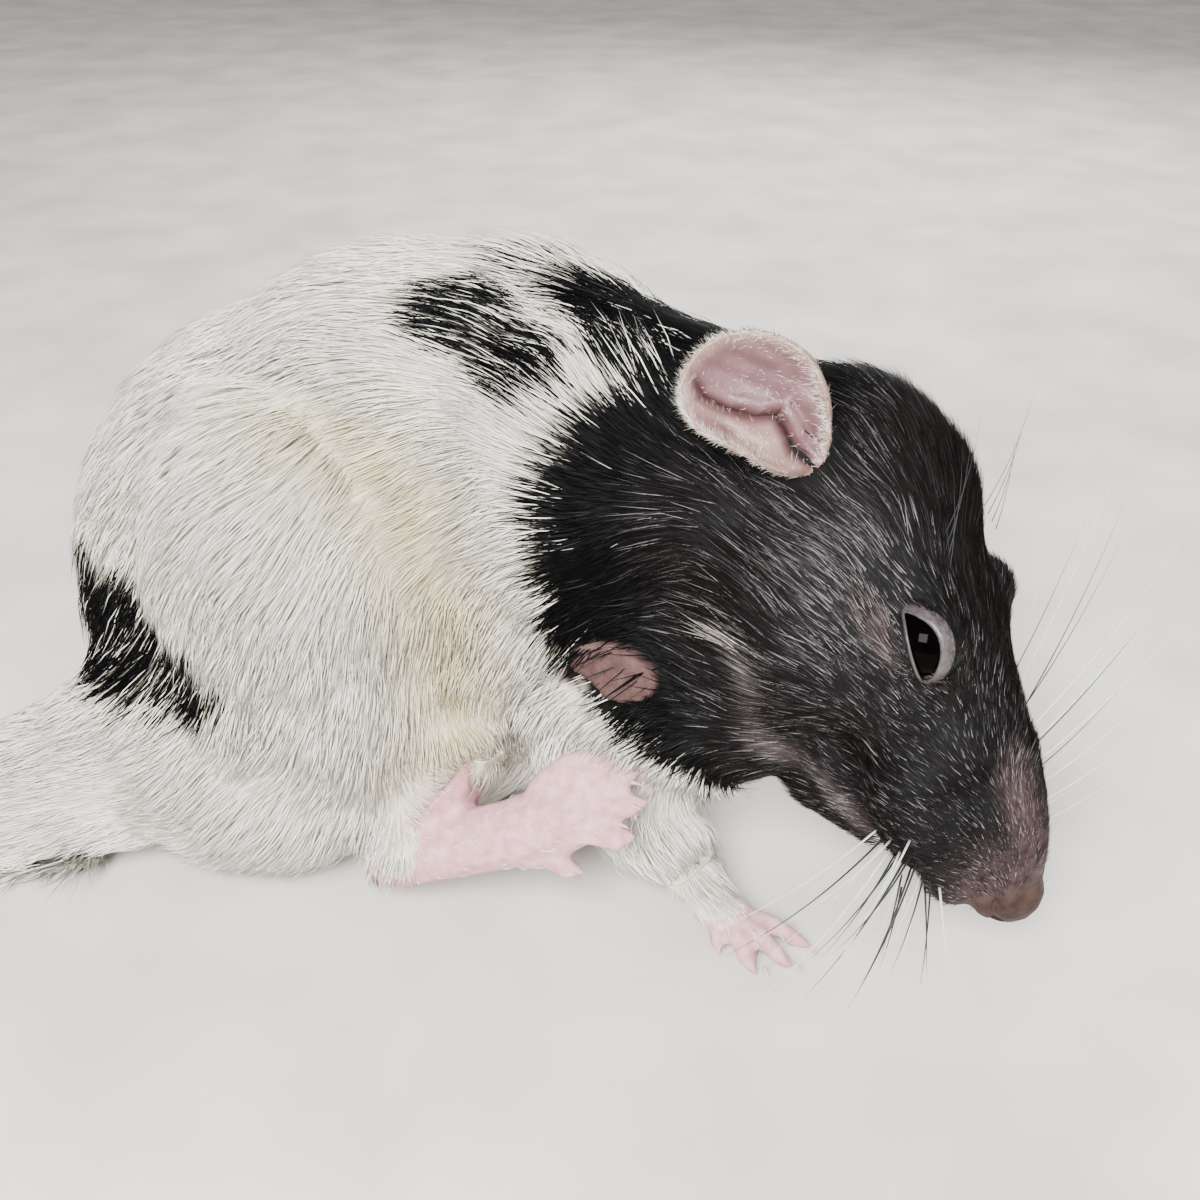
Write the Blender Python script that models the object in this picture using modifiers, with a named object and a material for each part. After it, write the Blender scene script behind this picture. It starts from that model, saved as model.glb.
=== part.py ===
"""A hooded pet rat, life size, sitting hunched and scratching with its right hind foot.

All sizes are in millimetres until they reach Blender, which works in metres.
+X is the way the rat faces, +Y is its left side and +Z is up, with the floor at Z = 0.
"""

import math
import random

import bmesh
import bpy
from mathutils import Matrix, Vector

# Driving dimensions
TAIL_LENGTH = 182.0       # from the rump to the tip
HEAD_SCALE = 1.10         # an adult male's head, against a 43 mm skull
EYE_RADIUS = 3.3
LID_RADIUS = 4.05         # the two lids lie on the eyeball like a thin shell
EYE_OPENING = (3.3, -1.0, 1.6)  # half its length, and its edges towards cheek and crown
EAR_HEIGHT = 14.0
EAR_WIDTH = 12.2
EAR_THICKNESS = 0.9
WHISKER_ROOT = 0.6        # thickness of a whisker at its root
WHISKER_LENGTH = {"whisker_pad_right": 19.0, "whisker_pad_left": 36.0}
GAP = 0.3                 # between two nodes that touch
MM = 0.001

# The head's own frame: its origin is the tip of the nose, X is forward, Y is the
# rat's left and Z is the crown. The rat holds its nose down and tips its crown
# towards its left side, which turns the right cheek up.
NOSE_TIP = Vector((39.6, -21.6, 8.6))
HEAD_FORWARD = Vector((0.345, -0.442, -0.828)).normalized()
HEAD_CROWN = Vector((0.798, -0.327, 0.507))

# Where each ear is rooted along Z of the head's frame, and how far the laid-back
# ear turns down from there towards the throat
EAR_ROOT = {"right": 1.6, "left": -4.0}
EAR_SWEEP = {"right": -0.5, "left": -2.2}

# Where the whiskers of each side point in the head's frame, and how a lower row
# and a farther column turn away from that
WHISKER_AIM = {"whisker_pad_right": (0.58, -0.70, -0.32), "whisker_pad_left": (-0.12, 0.75, 0.35)}
WHISKER_SPREAD = {
    "whisker_pad_right": ((0.05, 0.0, -0.16), (-0.26, 0.0, -0.10)),
    "whisker_pad_left": ((0.02, 0.0, -0.38), (-0.30, 0.0, 0.05)),
}

COAT_WHITE = (0.80, 0.77, 0.70, 1.0)
COAT_BLACK = (0.030, 0.030, 0.034, 1.0)
BARE_PINK = (0.72, 0.45, 0.43, 1.0)
NOSE_PINK = (0.45, 0.26, 0.24, 1.0)
EYE_BLACK = (0.006, 0.005, 0.005, 1.0)
TAIL_SKIN = (0.62, 0.45, 0.42, 1.0)


# Start from an empty file
for stale in list(bpy.data.objects):
    bpy.data.objects.remove(stale, do_unlink=True)

rat_collection = bpy.data.collections.new("pet_rat")
cutter_collection = bpy.data.collections.new("cutters")
bpy.context.scene.collection.children.link(rat_collection)
bpy.context.scene.collection.children.link(cutter_collection)


def head_frame():
    """The matrix that turns a point of the head's frame into a world point, in mm."""
    forward = HEAD_FORWARD
    left = HEAD_CROWN.cross(forward).normalized()
    crown = forward.cross(left).normalized()
    frame = Matrix((forward, left, crown)).transposed().to_4x4()
    frame.translation = NOSE_TIP
    return frame @ Matrix.Scale(HEAD_SCALE, 4)


WORLD = Matrix.Identity(4)
HEAD = head_frame()


# Materials
def make_material(name, colour, roughness, metallic=0.0):
    material = bpy.data.materials.new(name)
    material.use_nodes = True
    shader = material.node_tree.nodes["Principled BSDF"]
    shader.inputs["Base Color"].default_value = colour
    shader.inputs["Roughness"].default_value = roughness
    shader.inputs["Metallic"].default_value = metallic
    return material


white_coat = make_material("white_coat", COAT_WHITE, 0.85)
black_coat = make_material("black_coat", COAT_BLACK, 0.6)
bare_skin = make_material("bare_skin", BARE_PINK, 0.5)
nose_skin = make_material("nose_skin", NOSE_PINK, 0.4)
eye_gloss = make_material("eye_gloss", EYE_BLACK, 0.05)
tail_skin = make_material("tail_skin", TAIL_SKIN, 0.6)


# Building blocks
def add_ball(bm, centre, radii, frame=WORLD, turn=(0.0, 0.0, 0.0), level=3):
    """Add an ellipsoid. turn holds its turns about X, Y and Z in degrees."""
    rotation = Matrix.Identity(4)
    for axis, angle in zip("XYZ", turn):
        rotation = Matrix.Rotation(math.radians(angle), 4, axis) @ rotation
    stretch = Matrix.Diagonal((*radii, 1.0))
    matrix = frame @ Matrix.Translation(centre) @ rotation @ stretch
    bmesh.ops.create_icosphere(bm, subdivisions=level, radius=1.0, matrix=matrix)


def add_limb(bm, points, frame=WORLD, level=2):
    """Add a chain of tapered lengths. Each point is (x, y, z, radius)."""
    for first, second in zip(points, points[1:]):
        link = bmesh.new()
        for x, y, z, radius in (first, second):
            matrix = frame @ Matrix.Translation((x, y, z)) @ Matrix.Scale(radius, 4)
            bmesh.ops.create_icosphere(link, subdivisions=level, radius=1.0, matrix=matrix)
        hull = bmesh.ops.convex_hull(link, input=link.verts)
        inside = [v for v in hull["geom_interior"] if isinstance(v, bmesh.types.BMVert)]
        bmesh.ops.delete(link, geom=inside, context="VERTS")
        mesh = bpy.data.meshes.new("link")
        link.to_mesh(mesh)
        link.free()
        bm.from_mesh(mesh)
        bpy.data.meshes.remove(mesh)


def new_object(name, bm, material, collection=rat_collection):
    """Turn a bmesh in millimetres into an object in metres."""
    for vertex in bm.verts:
        vertex.co = vertex.co * MM
    mesh = bpy.data.meshes.new(name)
    bm.to_mesh(mesh)
    bm.free()
    mesh.materials.append(material)
    thing = bpy.data.objects.new(name, mesh)
    collection.objects.link(thing)
    return thing


def apply_modifiers(thing):
    """Replace an object's mesh by what its modifiers make of it."""
    graph = bpy.context.evaluated_depsgraph_get()
    graph.update()
    made = bpy.data.meshes.new_from_object(thing.evaluated_get(graph))
    old = thing.data
    thing.modifiers.clear()
    thing.data = made
    made.name = thing.name
    bpy.data.meshes.remove(old)


def keep_largest(thing):
    """Keep the largest closed surface of a mesh and drop the crumbs."""
    bm = bmesh.new()
    bm.from_mesh(thing.data)
    unseen = set(bm.verts)
    islands = []
    while unseen:
        island = []
        front = [unseen.pop()]
        while front:
            vertex = front.pop()
            island.append(vertex)
            for edge in vertex.link_edges:
                other = edge.other_vert(vertex)
                if other in unseen:
                    unseen.remove(other)
                    front.append(other)
        islands.append(island)
    islands.sort(key=len)
    crumbs = [vertex for island in islands[:-1] for vertex in island]
    bmesh.ops.delete(bm, geom=crumbs, context="VERTS")
    bmesh.ops.recalc_face_normals(bm, faces=bm.faces)
    bm.to_mesh(thing.data)
    bm.free()


def make_flesh(name, bm, material, voxel, smoothing, triangles):
    """Melt overlapping closed shapes into one smooth closed solid."""
    thing = new_object(name, bm, material)
    remesh = thing.modifiers.new("melt", "REMESH")
    remesh.mode = "VOXEL"
    remesh.voxel_size = voxel * MM
    apply_modifiers(thing)
    smooth = thing.modifiers.new("smooth", "SMOOTH")
    smooth.factor = 0.5
    smooth.iterations = smoothing
    apply_modifiers(thing)
    decimate = thing.modifiers.new("decimate", "DECIMATE")
    decimate.ratio = min(1.0, triangles / (2.0 * len(thing.data.polygons)))
    decimate.use_collapse_triangulate = True
    apply_modifiers(thing)
    thing.data.materials.clear()
    thing.data.materials.append(material)
    return thing


def boolean(thing, other, operation, solver="MANIFOLD"):
    """Join, cut or trim one closed mesh by another."""
    modifier = thing.modifiers.new("boolean", "BOOLEAN")
    modifier.operation = operation
    modifier.solver = solver
    modifier.object = other
    apply_modifiers(thing)


def copy_of(thing, name, grown=0.0):
    """Copy a mesh, grown outwards by so many millimetres."""
    bm = bmesh.new()
    bm.from_mesh(thing.data)
    bm.normal_update()
    moves = []
    for vertex in bm.verts:
        sharpness = min(2.0, vertex.calc_shell_factor())
        moves.append((vertex, vertex.normal * grown * sharpness * MM))
    for vertex, move in moves:
        vertex.co += move
    mesh = bpy.data.meshes.new(name)
    bm.to_mesh(mesh)
    bm.free()
    twin = bpy.data.objects.new(name, mesh)
    cutter_collection.objects.link(twin)
    twin.hide_render = True
    twin.display_type = "WIRE"
    return twin


def seat(child, *parents):
    """Cut the pocket that a child sits in out of its parents, a gap wider all round."""
    cutter = copy_of(child, "seat_" + child.name, GAP)
    for parent in parents:
        boolean(parent, cutter, "DIFFERENCE")
        keep_largest(parent)
    bpy.data.objects.remove(cutter, do_unlink=True)


def half_space(name, point, normal, reach):
    """A large box on the side of a plane that the normal points to, in mm."""
    bm = bmesh.new()
    turn = Vector(normal).normalized().to_track_quat("Z", "Y").to_matrix().to_4x4()
    matrix = Matrix.Translation(point) @ turn @ Matrix.Translation((0, 0, reach / 2))
    bmesh.ops.create_cube(bm, size=reach, matrix=matrix)
    box = new_object(name, bm, bare_skin, cutter_collection)
    box.hide_render = True
    box.display_type = "WIRE"
    return box


def part_off(thing, name, material, point, normal, reach=150.0):
    """Part a solid by a thin plane cut. The side of the normal becomes a new node."""
    normal = Vector(normal).normalized()
    point = Vector(point)
    piece = copy_of(thing, name)
    cutter_collection.objects.unlink(piece)
    rat_collection.objects.link(piece)
    piece.hide_render = False
    piece.display_type = "TEXTURED"
    piece.data.materials.clear()
    piece.data.materials.append(material)
    front = half_space("front", point, normal, reach)
    boolean(thing, front, "DIFFERENCE")
    back = half_space("back", point + normal * GAP, -normal, reach)
    boolean(piece, back, "DIFFERENCE")
    for cutter in (front, back):
        bpy.data.objects.remove(cutter, do_unlink=True)
    keep_largest(thing)
    keep_largest(piece)
    return piece


def head_point(x, y, z):
    """A world point in millimetres from one in the head's frame."""
    return HEAD @ Vector((x, y, z))


def head_direction(x, y, z):
    """A world direction from one in the head's frame."""
    return (HEAD.to_3x3() @ Vector((x, y, z))).normalized()


# The trunk, from the root of the tail to the nape, melted in one piece
def make_trunk():
    bm = bmesh.new()
    add_ball(bm, (-24.5, 14.0, 26.0), (34.0, 24.0, 33.5))
    add_ball(bm, (-18.0, 12.5, 33.5), (28.0, 22.0, 30.5))
    add_ball(bm, (-9.0, 11.5, 37.0), (25.0, 20.0, 27.0))
    add_ball(bm, (3.0, 5.0, 29.0), (16.0, 17.5, 20.0))
    add_limb(bm, [(-2.0, 6.0, 43.0, 18.5), (14.0, 1.0, 41.0, 16.0), (24.0, -3.0, 38.0, 14.0)])
    add_limb(bm, [(-40.0, 4.0, 16.0, 16.0), (-50.0, -1.0, 11.0, 12.0), (-66.0, -6.0, 7.5, 8.0)])
    return make_flesh("torso", bm, white_coat, 1.5, 12, 1600)


# The head, from the nape to the nose, melted with the neck it grows from
def make_head():
    bm = bmesh.new()
    add_ball(bm, (-37.0, 0.0, -0.8), (13.5, 13.0, 11.0), HEAD)
    add_ball(bm, (-27.0, 0.0, -0.8), (14.0, 10.8, 9.8), HEAD)
    add_limb(bm, [(-27.0, 0.0, -0.3, 9.2), (-9.5, 0.0, 0.6, 6.4), (-3.6, 0.0, 0.9, 4.0)], HEAD)
    for side in (-1.0, 1.0):
        add_ball(bm, (-33.0, 6.0 * side, -6.0), (12.5, 9.0, 10.5), HEAD)
        add_ball(bm, (-26.5, 7.2 * side, 5.2), (5.5, 3.2, 2.6), HEAD)
    add_ball(bm, (-28.0, 0.0, -11.0), (12.5, 9.0, 8.5), HEAD)
    nape = head_point(-36.0, 0.0, -1.0)
    throat = head_point(-30.0, 0.0, -10.0)
    add_limb(bm, [(*nape, 12.5), (14.0, 1.0, 41.0, 16.0), (-2.0, 6.0, 43.0, 18.5)])
    add_limb(bm, [(*throat, 10.5), (8.0, -2.0, 24.5, 15.0)])
    add_ball(bm, (14.5, -4.5, 23.5), (12.3, 12.3, 12.3))
    return make_flesh("head", bm, black_coat, 0.9, 9, 1700)


def make_jaw():
    bm = bmesh.new()
    add_limb(bm, [(-8.5, 0.0, -8.0, 2.6), (-15.0, 0.0, -11.2, 5.0), (-25.0, 0.0, -12.6, 8.2)], HEAD)
    return make_flesh("lower_jaw", bm, black_coat, 0.6, 4, 300)


def make_nose():
    """The nose pad with its two nostrils and the groove under it."""
    bm = bmesh.new()
    add_ball(bm, (-1.5, 0.0, 0.6), (3.1, 3.5, 3.4), HEAD)
    for side in (-1.0, 1.0):
        add_ball(bm, (-2.0, 2.2 * side, 0.0), (2.5, 2.0, 2.4), HEAD)
    nose = make_flesh("nose", bm, nose_skin, 0.4, 3, 240)
    bm = bmesh.new()
    for side in (-1.0, 1.0):
        add_ball(bm, (0.6, 2.3 * side, -0.5), (1.3, 0.8, 0.55), HEAD, (0.0, 0.0, 35.0 * side), 2)
        add_limb(bm, [(1.0, 2.0 * side, -0.6, 0.4), (-0.6, 4.1 * side, 0.2, 0.3)], HEAD, 1)
    nostrils = make_flesh("nostrils", bm, nose_skin, 0.2, 1, 120)
    boolean(nose, nostrils, "DIFFERENCE")
    bpy.data.objects.remove(nostrils, do_unlink=True)
    keep_largest(nose)
    return nose


def whisker_points(root, direction, length, droop):
    """Points and radii along one whisker, which bends back and tapers to its tip."""
    steps = 4
    points = []
    for step in range(steps + 1):
        t = step / steps
        point = root + direction * (length * t) + droop * (length * 0.16 * t * t)
        points.append((point, 0.5 * WHISKER_ROOT * (1.0 - 0.72 * t)))
    return points


def add_tapered_tube(bm, points, sides):
    """Add a closed tube of few sides through points, each with its radius."""
    curve = bpy.data.curves.new("tube", "CURVE")
    curve.dimensions = "3D"
    curve.bevel_depth = 1.0
    curve.bevel_resolution = max(0, sides // 2 - 2)
    curve.use_fill_caps = True
    spline = curve.splines.new("POLY")
    spline.points.add(len(points) - 1)
    for knot, (point, radius) in zip(spline.points, points):
        knot.co = (*point, 1.0)
        knot.radius = radius
    carrier = bpy.data.objects.new("tube", curve)
    cutter_collection.objects.link(carrier)
    graph = bpy.context.evaluated_depsgraph_get()
    mesh = bpy.data.meshes.new_from_object(carrier.evaluated_get(graph))
    start = len(bm.verts)
    bm.from_mesh(mesh)
    bpy.data.objects.remove(carrier, do_unlink=True)
    bpy.data.curves.remove(curve)
    bpy.data.meshes.remove(mesh)
    bm.verts.ensure_lookup_table()
    bmesh.ops.remove_doubles(bm, verts=list(bm.verts)[start:], dist=0.001)


def make_whisker_pad(side, name):
    """The upper lip's pad on one side, with its long whiskers rooted in it."""
    bm = bmesh.new()
    add_ball(bm, (-12.5, 4.6 * side, -2.6), (7.2, 4.4, 4.8), HEAD)
    add_ball(bm, (-5.2, 3.0 * side, -2.6), (3.6, 2.8, 3.1), HEAD)
    pad = make_flesh(name, bm, black_coat, 0.6, 4, 240)
    chance = random.Random(11 if side < 0 else 12)
    tubes = bmesh.new()
    for row in range(3):
        for column in range(3):
            x = -6.6 - 2.6 * column
            z = -1.6 - 1.7 * row
            root = head_point(x, (5.3 + 0.8 * column) * side, z)
            aim = WHISKER_AIM[name]
            spread = WHISKER_SPREAD[name]
            pull = [(row - 1.0) * spread[0][k] + (column - 1.0) * spread[1][k] for k in range(3)]
            aim = [aim[k] + pull[k] + chance.uniform(-0.06, 0.06) for k in range(3)]
            direction = head_direction(*aim)
            length = WHISKER_LENGTH[name] * (0.75 + 0.25 * column + chance.uniform(-0.08, 0.08))
            droop = head_direction(-1.0, 0.0, 0.1)
            add_tapered_tube(tubes, whisker_points(root - direction * 2.4, direction, length, droop), 4)
    whiskers = new_object("whiskers", tubes, black_coat, cutter_collection)
    boolean(pad, whiskers, "UNION", "EXACT")
    bpy.data.objects.remove(whiskers, do_unlink=True)
    keep_largest(pad)
    return pad


def ear_place(x, y, side):
    """The shape of an ear: a cup with a rolled rear rim that narrows to its sunken root.

    x and y run over a unit disc, with y from the root to the tip.
    """
    rim = min(1.0, math.hypot(x, y))
    waist = 1.0 - 0.40 * max(0.0, -y) ** 1.4
    cup = 3.0 * rim ** 2.4
    rear = max(0.0, (-x * side - 0.35) / 0.65)
    root = max(0.0, (-y - 0.35) / 0.65)
    roll = 2.2 * rear ** 2
    sink = 4.2 * root ** 1.4 + 1.4 * max(0.0, -y) * (1.0 - abs(x))
    width = 0.5 * EAR_WIDTH * x * waist + 0.75 * roll * side
    height = 0.5 * EAR_HEIGHT * (y + 0.82)
    return width, height, cup + roll - sink


def make_ear(side, name, base, along, face):
    """One thin cupped ear. base is the middle of its root and along points to its tip."""
    along = along.normalized()
    across = face.cross(along).normalized()
    face = along.cross(across).normalized()
    bm = bmesh.new()
    rings = 10
    bmesh.ops.create_grid(bm, x_segments=rings, y_segments=rings, size=1.0)
    for vertex in bm.verts:
        u, v = vertex.co.x, vertex.co.y
        x = u * math.sqrt(1.0 - v * v / 2.0)
        y = v * math.sqrt(1.0 - u * u / 2.0)
        width, height, rise = ear_place(x, y, side)
        vertex.co = base + across * width + along * height + face * rise
    ear = new_object(name, bm, bare_skin)
    solidify = ear.modifiers.new("thickness", "SOLIDIFY")
    solidify.thickness = EAR_THICKNESS * MM
    solidify.offset = 0.0
    apply_modifiers(ear)
    keep_largest(ear)
    return ear


def eye_place(side):
    """The middle of an eyeball in the head's frame."""
    return (-26.6, 8.3 * side, 4.0)


def make_eye(side, name):
    bm = bmesh.new()
    add_ball(bm, eye_place(side), (EYE_RADIUS / HEAD_SCALE,) * 3, HEAD, level=3)
    return new_object(name, bm, eye_gloss)


def eye_axes(side):
    """The way out of an eye, along its opening and up to the crown, in the head's frame."""
    outward = Vector((0.16, side, 0.34)).normalized()
    long_way = Vector((1.0, -0.16 * side, -0.12))
    long_way = (long_way - outward * long_way.dot(outward)).normalized()
    return outward, long_way, long_way.cross(outward) * side


def add_lids(head, side):
    """Lay the two lids over one eyeball."""
    bm = bmesh.new()
    add_ball(bm, eye_place(side), (LID_RADIUS / HEAD_SCALE,) * 3, HEAD, level=3)
    lids = new_object("lids", bm, black_coat, cutter_collection)
    boolean(head, lids, "UNION")
    bpy.data.objects.remove(lids, do_unlink=True)
    keep_largest(head)


def open_lids(head, side):
    """Cut the opening between the lids: nearly straight below and rounded above."""
    centre = Vector(eye_place(side))
    outward, long_way, upward = eye_axes(side)
    half, lower, upper = EYE_OPENING
    steps = 8
    outline = []
    for step in range(steps + 1):
        t = -1.0 + 2.0 * step / steps
        outline.append((t * half, lower + (upper - lower) * (1.0 - t * t) ** 0.8))
    for step in range(1, steps):
        t = 1.0 - 2.0 * step / steps
        outline.append((t * half, lower - 0.25 * (1.0 - t * t)))
    bm = bmesh.new()
    near = []
    far = []
    for along, up in outline:
        place = centre + long_way * along + upward * up
        near.append(bm.verts.new(HEAD @ (place + outward * 0.5)))
        far.append(bm.verts.new(HEAD @ (place + outward * 6.0)))
    bm.faces.new(near)
    bm.faces.new(far)
    for step in range(len(outline)):
        after = (step + 1) % len(outline)
        bm.faces.new((near[step], near[after], far[after], far[step]))
    bmesh.ops.recalc_face_normals(bm, faces=bm.faces)
    cutter = new_object("opening", bm, black_coat, cutter_collection)
    cutter.hide_render = True
    cutter.display_type = "WIRE"
    boolean(head, cutter, "DIFFERENCE")
    bpy.data.objects.remove(cutter, do_unlink=True)
    keep_largest(head)


# Legs and feet
def digit(root, tip, radius):
    """A toe or finger with a knuckle, a pad and a claw point."""
    root = Vector(root)
    tip = Vector(tip)
    knuckle = root.lerp(tip, 0.45) + Vector((0.0, 0.0, 0.9 * radius))
    pad = root.lerp(tip, 0.86)
    claw = tip + (tip - root).normalized() * 1.2
    return [
        (*root, radius),
        (*knuckle, radius * 0.92),
        (*pad, radius * 0.98),
        (*claw, radius * 0.3),
    ]


def make_leg(name, shank, sole, toes, triangles):
    """A lower leg with its foot, melted into one piece. Every point is (x, y, z, radius)."""
    bm = bmesh.new()
    add_limb(bm, shank)
    add_limb(bm, sole)
    for root, tip, radius in toes:
        add_limb(bm, digit(root, tip, radius))
    return make_flesh(name, bm, bare_skin, 0.5, 3, triangles)


def make_right_forearm():
    shank = [(0.0, -5.0, 17.0, 7.6), (3.6, -8.0, 10.8, 6.0), (10.0, -13.8, 4.8, 3.1)]
    sole = [(10.2, -13.6, 4.4, 2.6), (11.6, -15.6, 2.6, 2.4), (13.4, -17.0, 2.1, 2.4)]
    toes = [
        ((11.8, -16.4, 1.8), (12.0, -19.6, 0.9), 0.95),
        ((12.8, -17.6, 1.7), (15.2, -22.6, 0.9), 1.0),
        ((14.0, -17.4, 1.7), (18.6, -22.0, 0.9), 1.0),
        ((14.8, -16.4, 1.7), (20.6, -19.4, 0.9), 1.0),
    ]
    return make_leg("forearm_right", shank, sole, toes, 540)


def make_left_forearm():
    shank = [(2.0, 12.0, 18.0, 6.5), (4.5, 13.5, 11.0, 5.2), (10.5, 15.0, 5.0, 3.0)]
    sole = [(10.5, 15.0, 4.4, 2.6), (12.2, 15.0, 2.6, 2.4), (14.0, 15.0, 2.1, 2.4)]
    toes = [
        ((14.0, 12.8, 1.7), (17.0, 10.2, 0.9), 0.95),
        ((14.8, 14.2, 1.7), (20.4, 13.0, 0.9), 1.0),
        ((14.8, 15.6, 1.7), (20.8, 16.2, 0.9), 1.0),
        ((14.0, 16.8, 1.7), (19.0, 19.4, 0.9), 1.0),
    ]
    return make_leg("forearm_left", shank, sole, toes, 540)


def make_right_hind_foot():
    """The raised foot that the rat scratches with, heel low and toes up at the neck."""
    shank = [(-17.0, -6.0, 18.0, 7.5), (-18.5, -9.5, 11.0, 5.4), (-21.0, -12.0, 7.0, 3.9)]
    sole = [
        (-21.5, -12.4, 6.4, 3.7),
        (-15.0, -14.2, 9.4, 3.4),
        (-8.0, -15.6, 12.6, 3.6),
        (-4.6, -15.8, 14.4, 3.7),
    ]
    toes = [
        ((-7.0, -17.6, 10.8), (-2.6, -18.6, 10.2), 1.25),
        ((-3.8, -17.6, 13.0), (2.4, -18.4, 14.4), 1.35),
        ((-3.4, -16.4, 15.0), (3.6, -16.6, 17.2), 1.4),
        ((-4.0, -15.0, 16.8), (3.0, -14.6, 19.4), 1.35),
        ((-6.0, -14.0, 17.2), (0.4, -13.2, 20.6), 1.25),
    ]
    return make_leg("lower_leg_right", shank, sole, toes, 600)


def make_left_hind_foot():
    """The foot that the rat sits on, flat on the floor on the far side."""
    shank = [(-16.0, 30.0, 16.0, 8.0), (-26.0, 33.0, 8.0, 4.8), (-30.0, 34.0, 4.2, 3.6)]
    sole = [
        (-30.0, 34.0, 3.2, 3.4),
        (-20.0, 34.6, 2.7, 3.0),
        (-8.0, 35.4, 2.6, 3.4),
        (-5.0, 35.6, 2.4, 3.5),
    ]
    toes = [
        ((-8.5, 31.8, 1.6), (-5.0, 30.6, 1.0), 1.2),
        ((-3.8, 33.6, 1.6), (2.6, 32.6, 1.0), 1.3),
        ((-3.2, 35.2, 1.6), (4.4, 35.4, 1.0), 1.35),
        ((-3.6, 37.0, 1.6), (3.2, 38.4, 1.0), 1.3),
        ((-6.8, 38.8, 1.6), (-1.6, 41.2, 1.0), 1.2),
    ]
    return make_leg("lower_leg_left", shank, sole, toes, 600)


def make_thigh(name, balls, inner, outward):
    """A hind quarter: the dome of the thigh over the haunch that rests on the floor.

    Its inner face is flat, at the given place along Y, so that the two never meet.
    """
    bm = bmesh.new()
    for centre, radii, lean in balls:
        add_ball(bm, centre, radii, turn=(0.0, lean, 0.0))
    thigh = make_flesh(name, bm, white_coat, 1.5, 6, 340)
    inside = half_space("inside", (0.0, inner, 0.0), (0.0, -outward, 0.0), 150.0)
    boolean(thigh, inside, "DIFFERENCE")
    bpy.data.objects.remove(inside, do_unlink=True)
    keep_largest(thigh)
    return thigh


# The tail, laid on the floor behind the rat
def tail_point(t):
    """A point of the tail's centre line and its radius, for t from 0 to 1."""
    root = Vector((-56.0, -4.0))
    heading = math.radians(190.0)
    bend = math.radians(-96.0)
    steps = 40
    point = root.copy()
    count = max(0, round(t * steps))
    for step in range(count):
        s = (step + 0.5) / steps
        angle = heading + bend * s ** 1.6
        point += Vector((math.cos(angle), math.sin(angle))) * (TAIL_LENGTH / steps)
    radius = 4.2 * (1.0 - t) ** 0.85 + 0.95
    sink = 0.25
    return Vector((point.x, point.y, radius - sink)), radius


def make_tail(lengths):
    """The tail in a few lengths, with a thin gap between them."""
    pieces = []
    for number in range(lengths):
        low = number / lengths
        high = (number + 1) / lengths
        rings = 7
        points = []
        for ring in range(rings + 1):
            t = low + (high - low) * ring / rings
            points.append(tail_point(t))
        if number > 0:
            lead = (points[1][0] - points[0][0]).normalized()
            points[0] = (points[0][0] + lead * GAP, points[0][1])
        bm = bmesh.new()
        add_tapered_tube(bm, points, 10)
        pieces.append(new_object("tail_%d" % (number + 1), bm, tail_skin))
        keep_largest(pieces[-1])
    return pieces


def cut_floor(thing):
    """Trim what dips under the floor, which leaves a small flat to stand on."""
    if min(vertex.co.z for vertex in thing.data.vertices) >= 0.0:
        return
    floor = half_space("floor", (0.0, 0.0, 0.0), (0.0, 0.0, -1.0), 500.0)
    boolean(thing, floor, "DIFFERENCE")
    bpy.data.objects.remove(floor, do_unlink=True)
    keep_largest(thing)


# Build the flesh, then part it and seat one node in another
torso = make_trunk()
head = make_head()
NECK_PLANE = ((7.0, 2.0, 40.0), (0.93, -0.22, -0.30))
head_neck = part_off(head, "neck", black_coat, NECK_PLANE[0], -Vector(NECK_PLANE[1]))
bpy.data.objects.remove(head_neck, do_unlink=True)
shoulder = part_off(torso, "neck_side", black_coat, NECK_PLANE[0], NECK_PLANE[1])
bpy.data.objects.remove(shoulder, do_unlink=True)
rump = part_off(torso, "rump", white_coat, (-30.0, 12.0, 30.0), (-1.0, 0.0, 0.0))
neck = part_off(head, "neck", black_coat, head_point(-43.0, 0.0, -4.0), -HEAD_FORWARD + HEAD_CROWN * -0.35)
muzzle = part_off(head, "muzzle", black_coat, head_point(-17.0, 0.0, 0.0), HEAD_FORWARD)

lower_jaw = make_jaw()
nose = make_nose()
pads = [make_whisker_pad(-1.0, "whisker_pad_right"), make_whisker_pad(1.0, "whisker_pad_left")]
seat(lower_jaw, head, muzzle, *pads)
seat(nose, muzzle, *pads)
for pad in pads:
    seat(pad, muzzle, head)

for side, word in ((-1.0, "right"), (1.0, "left")):
    add_lids(head, side)
    eye = make_eye(side, "eye_" + word)
    open_lids(head, side)
    seat(eye, head)
    root = head_point(-43.7, 12.2 * side, EAR_ROOT[word])
    along = head_direction(-1.0, 0.20 * side, EAR_SWEEP[word])
    face = head_direction(-0.25, side, 0.25)
    ear = make_ear(side, "ear_" + word, root, along, face)
    seat(ear, head, neck)

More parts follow.
